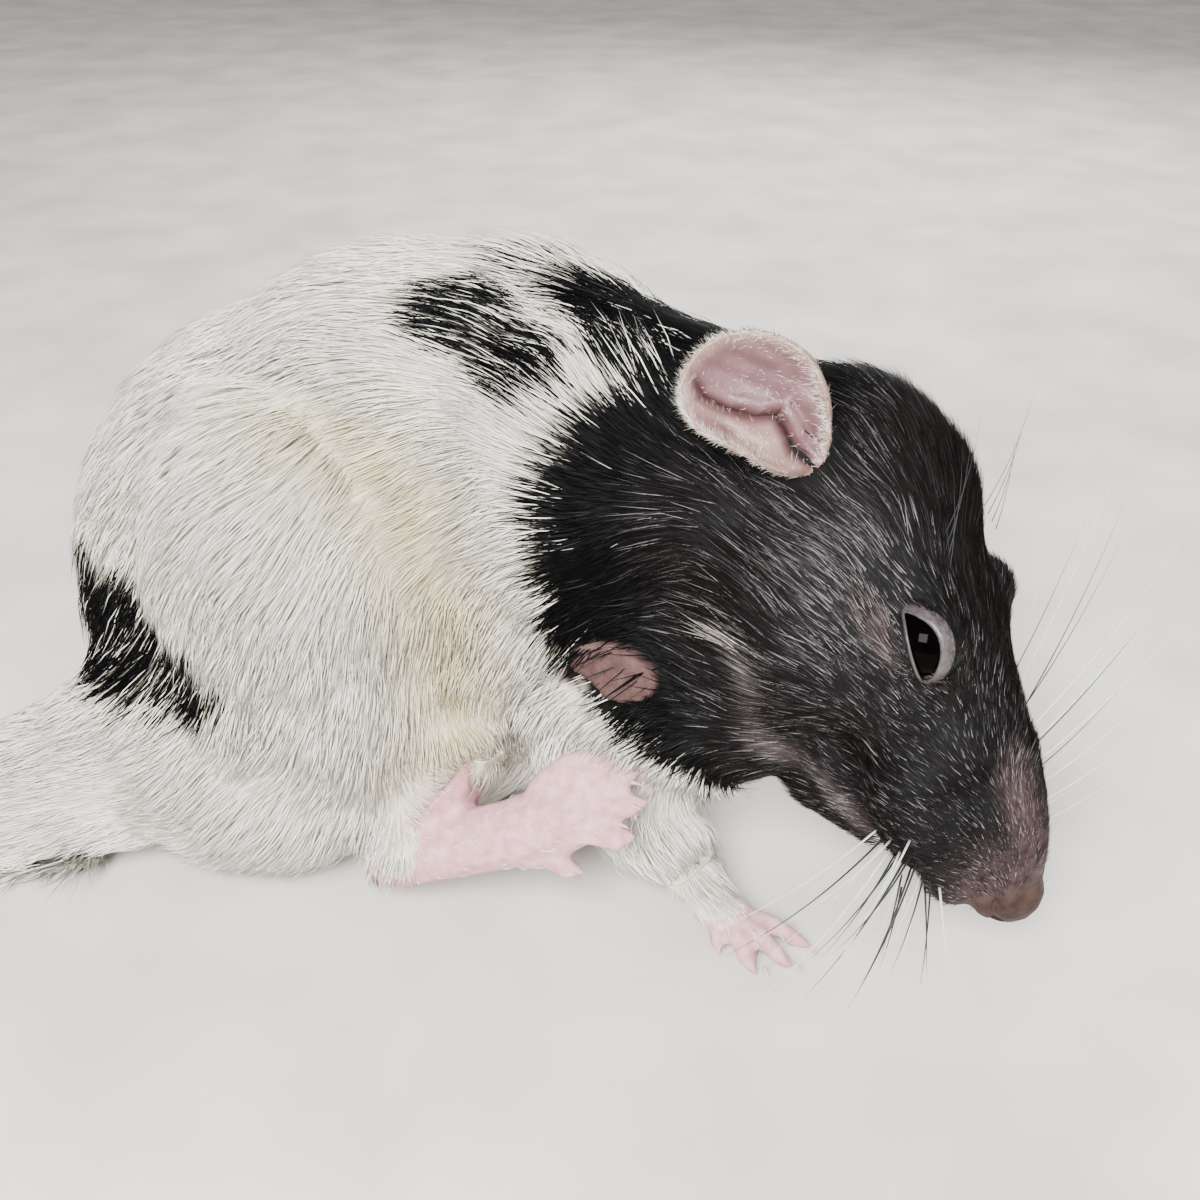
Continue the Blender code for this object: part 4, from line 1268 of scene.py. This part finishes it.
def build_hairs(name, coat, chosen, bent):
    """One joined mesh of hairs: a ring at the root, another at the middle if bent, and the tip."""
    base, mids, tips = coat["root"][chosen], coat["mid"][chosen], coat["tip"][chosen]
    outward = coat["normal"][chosen]
    wide = coat["wide"][chosen] * MM
    base = base - outward * (0.25 * MM)
    number = len(chosen)
    if bent:
        first = ring(base, unit(mids - base), outward, wide)
        second = ring(mids, unit(tips - base), outward, wide * 0.85)
        places = np.stack(first + second + [tips], axis=1)
        steps = np.array([0.0, 0.0, 0.0, 0.55, 0.55, 0.55, 1.0])
        pattern = LONG_PATTERN
    else:
        first = ring(base, unit(tips - base), outward, wide)
        places = np.stack(first + [tips], axis=1)
        steps = np.array([0.0, 0.0, 0.0, 1.0])
        pattern = SHORT_PATTERN
    corners = places.shape[1]
    faces = (pattern[None] + (np.arange(number) * corners)[:, None, None]).reshape(-1, 3)
    mesh = mesh_from_triangles(name, places.reshape(-1, 3), faces)
    write_attribute(mesh, "along", np.tile(steps, number))
    for key, values in coat["values"].items():
        write_attribute(mesh, key, np.repeat(values[chosen], corners))
    # Light reaches the hairs under the body from the sides, so their shading looks a little upwards
    shading = outward.copy()
    shading[:, 2] = np.maximum(shading[:, 2], 0.15)
    write_attribute(mesh, "lie", np.repeat(unit(shading), corners, axis=0), "FLOAT_VECTOR")
    half = 0.5 * PATCH_ACROSS
    # Each hair lies in a small patch round its root's place on the unwrap
    spread = np.array([
        (-half, -half), (0.0, -half), (half, -half), (-half, 0.0), (0.0, 0.0), (half, 0.0), (0.0, half),
    ])
    if not bent:
        spread = spread[[0, 4, 2, 6]]
    centre = 0.004 + coat["uv"][chosen] * 0.992
    spots = centre[:, None, :] + spread[None]
    layer = mesh.uv_layers.new(name="OFBake")
    layer.data.foreach_set("uv", spots[:, pattern.ravel(), :].reshape(-1))
    mesh.materials.append(coat_material)
    piece = link(bpy.data.objects.new(name, mesh))
    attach(piece, "root")
    return piece


def build_coat(word, coat, bent, piece_size):
    order = np.argsort(coat["root"][:, 0])
    for number, start in enumerate(range(0, len(order), piece_size)):
        build_hairs("%s_%d" % (word, number + 1), coat, order[start:start + piece_size], bent)
    print(word, "hairs", len(order))


long_coat = grow_coat(*draw_roots(carrier.data, LONG_HAIRS, body_density), "long")
under_coat = grow_coat(*draw_roots(carrier.data, UNDER_HAIRS, body_density), "under")
face_coat = grow_coat(*draw_roots(carrier.data, FACE_HAIRS, face_density), "face")
build_coat("coat", long_coat, True, 19000)
build_coat("under_coat", under_coat, False, 46000)
build_coat("short_coat", face_coat, False, 46000)
bpy.data.objects.remove(carrier, do_unlink=True)

# %% [markdown]
# The eyes are black glossy balls set deep between two lids. The lids are rows of
# places round the opening, each laid on the ball or on the skin round it.

# %% Eyes
def make_eye(side, word):
    bm = bmesh.new()
    bmesh.ops.create_uvsphere(bm, u_segments=48, v_segments=32, radius=EYE_RADIUS * MM * 0.995)
    bmesh.ops.translate(bm, verts=bm.verts, vec=head_world(eye_place(side)))
    eye = mesh_object("eyeball_" + word, bm, eye_material)
    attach(eye, "root")
    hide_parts("eye_" + word)


def make_lids(side, word):
    """The two lids as one smooth rim that lies on the ball and runs out into the skin."""
    centre = eye_place(side)
    outward, long_way, upward = eye_axes(side)
    outline = opening_outline(96)
    bm = bmesh.new()
    rings = []
    # How far out from the opening's edge, as a share of the lid, and the height over the ball
    profile = ((-0.06, 0.02), (0.0, 0.22), (0.1, 0.36), (0.35, 0.42), (0.65, 0.4), (0.9, 0.32), (1.15, 0.16))
    for share, rise in profile:
        row = []
        for step, spot in enumerate(outline):
            before = outline[step - 1]
            after = outline[(step + 1) % len(outline)]
            run = Vector((after[0] - before[0], after[1] - before[1])).normalized()
            away = Vector((run.y, -run.x))
            if away.dot(Vector((spot[0], spot[1] - 0.3))) < 0.0:
                away = -away
            crownward = max(0.0, away.y)
            band = 0.28 + 0.95 * crownward
            along, up = Vector(spot) + away * (band * share)
            height = BALL + rise
            out = math.sqrt(max(0.0, height * height - along * along - up * up))
            flat = centre + long_way * along + upward * up
            start = head_world(flat + outward * 7.0)
            hit = skin_tree.ray_cast(start, -head_way(outward))
            if share > 0.3 and hit[0] is not None:
                depth = (start - hit[0]).length / (MM * HEAD_SCALE)
                out = max(out, 7.0 - depth + 0.22 * (1.1 - share))
            elif along * along + up * up > BALL * BALL * 0.98 and hit[0] is not None:
                depth = (start - hit[0]).length / (MM * HEAD_SCALE)
                out = max(out, min(7.0 - depth, 2.0))
            row.append(bm.verts.new(head_world(flat + outward * out)))
        rings.append(row)
    join_rings(bm, rings)
    bmesh.ops.recalc_face_normals(bm, faces=bm.faces)
    lids = mesh_object("lids_" + word, bm, lid_material)
    solidify = lids.modifiers.new("thickness", "SOLIDIFY")
    solidify.thickness = 0.15 * MM
    bake_modifiers(lids)
    even_out(lids, 3)
    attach(lids, "root")


for side, word in ((-1.0, "right"), (1.0, "left")):
    make_eye(side, word)
    make_lids(side, word)

# %% [markdown]
# The ears are thin cups with a rolled rear rim, folds at the root and a soft down on both faces. A flat grid
# of cells is bent by one function of its own two coordinates, so that the paler rim and the painted shade of
# the folds can follow the same lines.

# %% Ears
EAR_THICKNESS = 0.5
EAR_CELLS = 90
DOWN_WIDTH = 0.055
DOWN_HAIRS = 4200
# The crease inside the rolled rear rim: how far to the rear it lies for a height on the ear
CREASE_HEIGHTS = (-0.62, -0.42, -0.20, 0.0, 0.30, 0.62, 0.92)
CREASE_REARS = (0.14, 0.0, -0.08, 0.14, 0.30, 0.38, 0.24)


def crease_gap(x, y, side):
    """Distance to the rear of the crease, negative in front of it."""
    here = np.interp(y, CREASE_HEIGHTS, CREASE_REARS)
    slope = (np.interp(y + 0.05, CREASE_HEIGHTS, CREASE_REARS) - here) / 0.05
    return (-x * side - here) / np.sqrt(1.0 + slope * slope)


def ear_place(x, y, side):
    """The shape of an ear, as arrays: a cup with a rolled rear rim that narrows to its sunken root."""
    rim = np.minimum(1.0, np.hypot(x, y))
    waist = 1.0 - 0.30 * np.maximum(0.0, -y) ** 1.4
    waist = waist - np.where(-x * side > 0.0, 0.20 * smooth_step(0.6, -0.3, y) * np.abs(x), 0.0)
    cup = 3.0 * rim ** 2.4
    rear_x = -x * side
    rear = np.maximum(0.0, (rear_x - 0.35) / 0.65)
    root = np.maximum(0.0, (-y - 0.35) / 0.65)
    roll = 2.2 * rear ** 2
    sink = 3.2 * root ** 1.4 + 0.3 * np.maximum(0.0, -y) * (1.0 - np.abs(x))
    gap = crease_gap(x, y, side)
    inward = smooth_step(1.0, 0.85, rim)
    band = 1.5 * smooth_step(-0.02, 0.14, gap) * inward * smooth_step(1.0, 0.6, y)
    lobe = 0.7 * np.exp(-(((rear_x - 0.34) / 0.24) ** 2) - ((y + 0.28) / 0.26) ** 2)
    groove = -0.9 * hill(gap + 0.03, 0.06) * smooth_step(1.0, 0.7, y)
    ridge = 0.5 * hill(gap + 0.20, 0.09) * smooth_step(0.7, 0.2, y)
    pit = -0.6 * np.exp(-(((rear_x - 0.54) / 0.10) ** 2) - ((y - 0.12) / 0.16) ** 2)
    folds = 0.22 * np.sin(17.0 * x + 3.0 * y) * smooth_step(0.0, -0.5, y) * smooth_step(-0.1, -0.3, gap)
    ripple = 0.07 * np.sin(11.0 * y + 5.0 * x) + 0.05 * np.sin(23.0 * x - 9.0 * y)
    width = 0.5 * EAR_WIDTH * x * waist + 0.75 * roll * side
    height = 0.5 * EAR_HEIGHT * (y + 0.82)
    return width, height, cup + roll - sink + band + lobe + groove + ridge + pit + folds + ripple


def make_ear(side, word):
    base, along, across, face_way = ear_frame(side, word)
    bm = bmesh.new()
    bmesh.ops.create_grid(bm, x_segments=EAR_CELLS, y_segments=EAR_CELLS, size=1.0)
    ear = mesh_object("ear_skin_" + word, bm, ear_material)
    flat = coordinates(ear.data)
    x = flat[:, 0] * np.sqrt(1.0 - flat[:, 1] ** 2 / 2.0)
    y = flat[:, 1] * np.sqrt(1.0 - flat[:, 0] ** 2 / 2.0)
    width, height, rise = ear_place(x, y, side)
    spread = MM * np.stack([width, height, rise], axis=1)
    places = np.array(base) + spread @ np.array((across, along, face_way))
    set_coordinates(ear.data, places)
    rims = np.minimum(1.0, np.hypot(x, y))
    gap = crease_gap(x, y, side)
    pale = np.maximum(smooth_step(0.84, 0.98, rims), 0.85 * smooth_step(0.02, 0.14, gap))
    # Painted shade in the crease behind the rolled rim, in the ear canal and in the pit
    canal = np.exp(-(((-x * side - 0.1) / 0.22) ** 2) - ((y + 0.72) / 0.16) ** 2)
    pit = np.exp(-(((-x * side - 0.54) / 0.12) ** 2) - ((y - 0.12) / 0.18) ** 2)
    ear_shade = hill(gap + 0.03, 0.075) * smooth_step(1.0, 0.7, y) + canal + 0.6 * pit
    write_attribute(ear.data, "rim", pale)
    write_attribute(ear.data, "ear_shade", np.clip(0.9 * ear_shade, 0.0, 1.0))
    surface = places, normals_of(ear.data).copy(), rims, np.stack([x, y], axis=1)
    solidify = ear.modifiers.new("thickness", "SOLIDIFY")
    solidify.thickness = EAR_THICKNESS * MM
    solidify.offset = 0.0
    bake_modifiers(ear)
    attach(ear, "root")
    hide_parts("ear_" + word)
    grow_down(surface, "ear_down_" + word, along, face_way)


def grow_down(surface, name, along, face_way):
    """Short pale hairs on both faces of an ear and round its rim."""
    places, ways, rims, spots = surface
    number = DOWN_HAIRS
    weights = 0.10 + smooth_step(0.75, 1.0, rims) ** 2
    picks = chance.choice(len(places), size=number, p=weights / weights.sum())
    roots = places[picks] + chance.normal(size=(number, 3)) * 0.00008
    outward = ways[picks] * np.where(chance.random(number) < 0.5, 1.0, -1.0)[:, None]
    roots = roots + outward * (0.5 * EAR_THICKNESS * MM)
    lean = np.array(along) + chance.normal(size=(number, 3)) * 0.35
    length = chance.uniform(0.35, 0.95, number)[:, None] * MM
    tips = roots + unit(lean + outward * 0.45) * length
    none = np.zeros(number)
    coat = {
        "root": roots, "mid": roots, "tip": tips, "normal": outward,
        "uv": 0.5 + 0.49 * spots[picks],
        "wide": np.full(number, 0.5 * DOWN_WIDTH),
        "values": {
            "black": none, "tone_and_glint": chance.random(number), "face": none, "rosy": none,
            "cream_and_fold_shade": np.full(number, 0.2),
        },
    }
    build_hairs(name, coat, np.arange(number), False)


for side, word in ((-1.0, "right"), (1.0, "left")):
    make_ear(side, word)

# %% [markdown]
# The tail lies on the floor in a long bend. A rat's tail is ringed with small
# scales, so every fourth ring of its surface is a shallow, darker groove.

# %% Tail
TAIL_LENGTH = 182.0
TAIL_ROOT = Vector((-56.0, -4.0))
TAIL_HEADING = math.radians(190.0)
TAIL_BEND = math.radians(-96.0)
TAIL_ROOT_RADIUS = 4.2
TAIL_END_RADIUS = 0.95
TAIL_RINGS = 720
TAIL_SIDES = 40
GROOVE_EVERY = 4


def make_tail():
    rows = []
    grooves = []
    spot = TAIL_ROOT.copy()
    for number in range(TAIL_RINGS + 1):
        t = number / TAIL_RINGS
        groove = 1.0 if number % GROOVE_EVERY == 0 else 0.0
        radius = TAIL_ROOT_RADIUS * (1.0 - t) ** 0.85 + TAIL_END_RADIUS
        angle = TAIL_HEADING + TAIL_BEND * t ** 1.6
        way = Vector((math.cos(angle), math.sin(angle)))
        middle = Vector((spot.x, spot.y, radius - 0.25))
        across = Vector((-way.y, way.x, 0.0))
        row = round_row(middle, across, Vector((0.0, 0.0, 1.0)), radius * (1.0 - 0.035 * groove), TAIL_SIDES)
        rows.append([world((place.x, place.y, max(place.z, 0.0))) for place in row])
        grooves += [0.7 * groove] * TAIL_SIDES
        spot += way * (TAIL_LENGTH / TAIL_RINGS)
    bm = bmesh.new()
    add_tube(bm, rows)
    bmesh.ops.recalc_face_normals(bm, faces=bm.faces)
    tail = mesh_object("tail", bm, tail_material)
    write_attribute(tail.data, "groove", grooves)
    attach(tail, "root")
    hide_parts("tail_1", "tail_2", "tail_3", "tail_4")
    print("tail rings", len(rows))


make_tail()

# %% [markdown]
# Whiskers: long tapered hairs in rows on both pads, white and black, with short
# ones round the nose and over the eyes.

# %% Whiskers
# How far a whisker may reach past the solids' box, in metres
BOX_SLACK = 0.0012


def add_whisker(bm, root, way, droop, length, thick, sides=5, steps=10):
    """A tapered bent hair with closed ends, cut shorter where it would leave the solids' box."""
    for _ in range(40):
        tip = root + (way + droop) * length
        over = max(max(CAD_LOW[k] - tip[k], tip[k] - CAD_HIGH[k]) for k in range(3))
        if over < BOX_SLACK:
            break
        length *= 0.96
    across = way.cross(Vector((0.0, 0.0, 1.0))).normalized()
    up = across.cross(way).normalized()
    rows = []
    for step in range(steps + 1):
        t = step / steps
        place = root + way * (length * t) + droop * (length * t * t)
        rows.append(round_row(place, across, up, 0.5 * thick * (1.0 - 0.9 * t), sides))
    add_tube(bm, rows)


WHISKER_AIM = {"right": (0.58, -0.70, -0.32), "left": (-0.12, 0.75, 0.35)}
WHISKER_TURN = {
    "right": ((0.05, 0.0, -0.16), (-0.22, 0.0, -0.08)),
    "left": ((0.02, 0.0, -0.30), (-0.22, 0.0, 0.05)),
}
WHISKER_LENGTH = {"right": 20.0, "left": 36.0}
WHISKER_THICKNESS = {"right": 0.24, "left": 0.21}
# Heights of the rows of whiskers in the head's frame
WHISKER_ROWS = {"right": (-3.2, -4.6, -5.8, -6.8), "left": (0.2, -1.4, -2.9, -4.4, -5.7)}


def skin_place(x, side, z):
    """A place on the skin of the snout, seen from its side."""
    start = head_world((x, 14.0 * side, z))
    hit = skin_tree.ray_cast(start, head_way((0.0, -side, 0.0)))
    return hit[0] if hit[0] is not None else head_world((x, 4.0 * side, z))


def make_whiskers():
    draw = random.Random(5)
    pale = bmesh.new()
    dark = bmesh.new()
    for side, word in ((-1.0, "right"), (1.0, "left")):
        turn = WHISKER_TURN[word]
        for row, z in enumerate(WHISKER_ROWS[word]):
            for column in range(6):
                root = skin_place(-4.6 - 1.15 * column, side, z + draw.uniform(-0.3, 0.3))
                aim = Vector(WHISKER_AIM[word])
                aim += 0.5 * (row - 2.0) * Vector(turn[0]) + 0.5 * (column - 2.0) * Vector(turn[1])
                aim += Vector([draw.uniform(-0.12, 0.12) for _ in range(3)])
                length = WHISKER_LENGTH[word] * (0.42 + 0.13 * column + draw.uniform(-0.08, 0.08)) * MM
                droop = head_way((-1.0, 0.0, 0.1)) * 0.16
                target = dark if draw.random() < (0.5 if word == "right" else 0.3) else pale
                add_whisker(target, root, head_way(aim), droop, length, WHISKER_THICKNESS[word] * MM)
        for number in range(4):
            root = head_world((-31.5 - 0.8 * number, (7.6 - 0.3 * number) * side, 7.6))
            aim = head_way((-0.8, 0.35 * side, 0.55 + 0.12 * number))
            droop = head_way((-1.0, 0.0, -0.4)) * 0.2
            add_whisker(dark, root, aim, droop, (9.0 + number) * MM, 0.10 * MM)
    for number in range(14):
        side = -1.0 if number % 2 else 1.0
        x = -8.0 - 0.75 * number
        root = head_world((x, draw.uniform(1.0, 4.2) * side - 1.5, 4.6))
        aim = head_way((-0.85, 0.25 * side, 0.42))
        droop = head_way((-1.0, 0.0, -0.4)) * 0.15
        add_whisker(dark, root, aim, droop, draw.uniform(3.0, 5.0) * MM, 0.13 * MM)
    pieces = (pale, "whiskers_white", pale_whisker), (dark, "whiskers_black", dark_whisker)
    for bm, name, material in pieces:
        piece = mesh_object(name, bm, material)
        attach(piece, "root")


make_whiskers()

# %% [markdown]
# Claws: small points of horn that bend down at the ends of the toes. Each is a
# short tube that narrows, a little flatter from side to side than it is high.

# %% Claws
# Root and tip of each toe in the rat's frame
TOES = (
    ((12.8, -18.2, 2.0), (12.2, -20.2, 0.9)),
    ((14.6, -19.6, 1.7), (16.4, -23.2, 0.9)),
    ((15.8, -19.6, 1.7), (19.6, -22.8, 0.9)),
    ((16.4, -18.6, 1.7), (21.3, -20.6, 0.9)),
    ((14.0, 12.8, 1.7), (17.0, 10.2, 0.9)),
    ((14.8, 14.2, 1.7), (20.4, 13.0, 0.9)),
    ((14.8, 15.6, 1.7), (20.8, 16.2, 0.9)),
    ((14.0, 16.8, 1.7), (19.0, 19.4, 0.9)),
    ((-8.4, -17.8, 15.6), (-3.6, -18.6, 13.4)),
    ((-3.6, -17.8, 17.8), (2.0, -18.8, 16.2)),
    ((-2.8, -17.6, 19.2), (3.2, -18.0, 17.8)),
    ((-2.8, -16.4, 20.8), (3.2, -16.6, 19.6)),
    ((-4.0, -15.2, 21.4), (1.8, -14.8, 21.4)),
    ((-8.5, 31.8, 1.6), (-5.0, 30.6, 1.0)),
    ((-3.8, 33.6, 1.6), (2.6, 32.6, 1.0)),
    ((-3.2, 35.2, 1.6), (4.4, 35.4, 1.0)),
    ((-3.6, 37.0, 1.6), (3.2, 38.4, 1.0)),
    ((-6.8, 38.8, 1.6), (-1.6, 41.2, 1.0)),
)


CLAW_STEPS = 5
CLAW_LENGTH = 1.1
CLAW_RADIUS = 0.27


def make_claws():
    bm = bmesh.new()
    for root, tip in TOES:
        way = (Vector(tip) - Vector(root)).normalized()
        start = Vector(tip) + Vector((0.0, 0.0, 0.30)) - way * 0.2
        down = Vector((0.0, 0.0, -1.0)) * min(0.32, max(0.0, tip[2] - 0.45))
        across = way.cross(Vector((0.0, 0.0, 1.0))).normalized()
        up = across.cross(way).normalized()
        rows = []
        for step in range(CLAW_STEPS + 1):
            t = step / CLAW_STEPS
            place = start + way * (CLAW_LENGTH * t) + down * (0.6 * t * t)
            row = round_row(place, across, up, CLAW_RADIUS * (1.0 - 0.88 * t), 8, 0.75)
            rows.append([world(place) for place in row])
        add_tube(bm, rows)
    claws = mesh_object("claws", bm, claw_material)
    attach(claws, "root")


make_claws()

# %% [markdown]
# The stage: a pale floor, soft lights and the camera, which looks down at the
# rat's right side from close by.

# %% Stage
CAMERA_PITCH = 33.0
CAMERA_PLACE = (0.0, -110.7, 101.9)
FOCAL_PIXELS = 1287.0
PHOTO_PIXELS = 1200.0


def make_floor():
    bm = bmesh.new()
    bmesh.ops.create_grid(bm, x_segments=2, y_segments=2, size=1.5)
    bmesh.ops.translate(bm, verts=bm.verts, vec=(0.0, 0.0, -0.0002))
    material = make_plain_material("floor", (0.74, 0.71, 0.67), 0.8, 40.0)
    floor = mesh_object("floor", bm, material)


def make_camera():
    camera = bpy.data.cameras.new("camera")
    camera.sensor_width = 36.0
    camera.lens = 36.0 * FOCAL_PIXELS / PHOTO_PIXELS
    camera.clip_start = 0.002
    thing = link(bpy.data.objects.new("camera", camera))
    thing.location = world(CAMERA_PLACE)
    thing.rotation_euler = (math.radians(90.0 - CAMERA_PITCH), 0.0, 0.0)
    bpy.context.scene.camera = thing


def make_light(name, place, power, size):
    light = bpy.data.lights.new(name, "AREA")
    light.energy = power
    light.size = size
    thing = link(bpy.data.objects.new(name, light))
    thing.location = world(place)
    aim = world((0.0, 0.0, 25.0)) - thing.location
    thing.rotation_euler = aim.to_track_quat("-Z", "Y").to_euler()


def make_world():
    surround = bpy.data.worlds.new("studio")
    bpy.context.scene.world = surround
    surround.use_nodes = True
    background = surround.node_tree.nodes["Background"]
    background.inputs[0].default_value = (1.0, 0.98, 0.95, 1.0)
    background.inputs[1].default_value = 0.48


make_floor()
make_camera()
make_world()
make_light("key", (-75.0, -265.0, 270.0), 4.8, 0.16)
make_light("fill", (330.0, -220.0, 220.0), 0.9, 0.35)
make_light("back", (100.0, 320.0, 280.0), 2.0, 0.30)
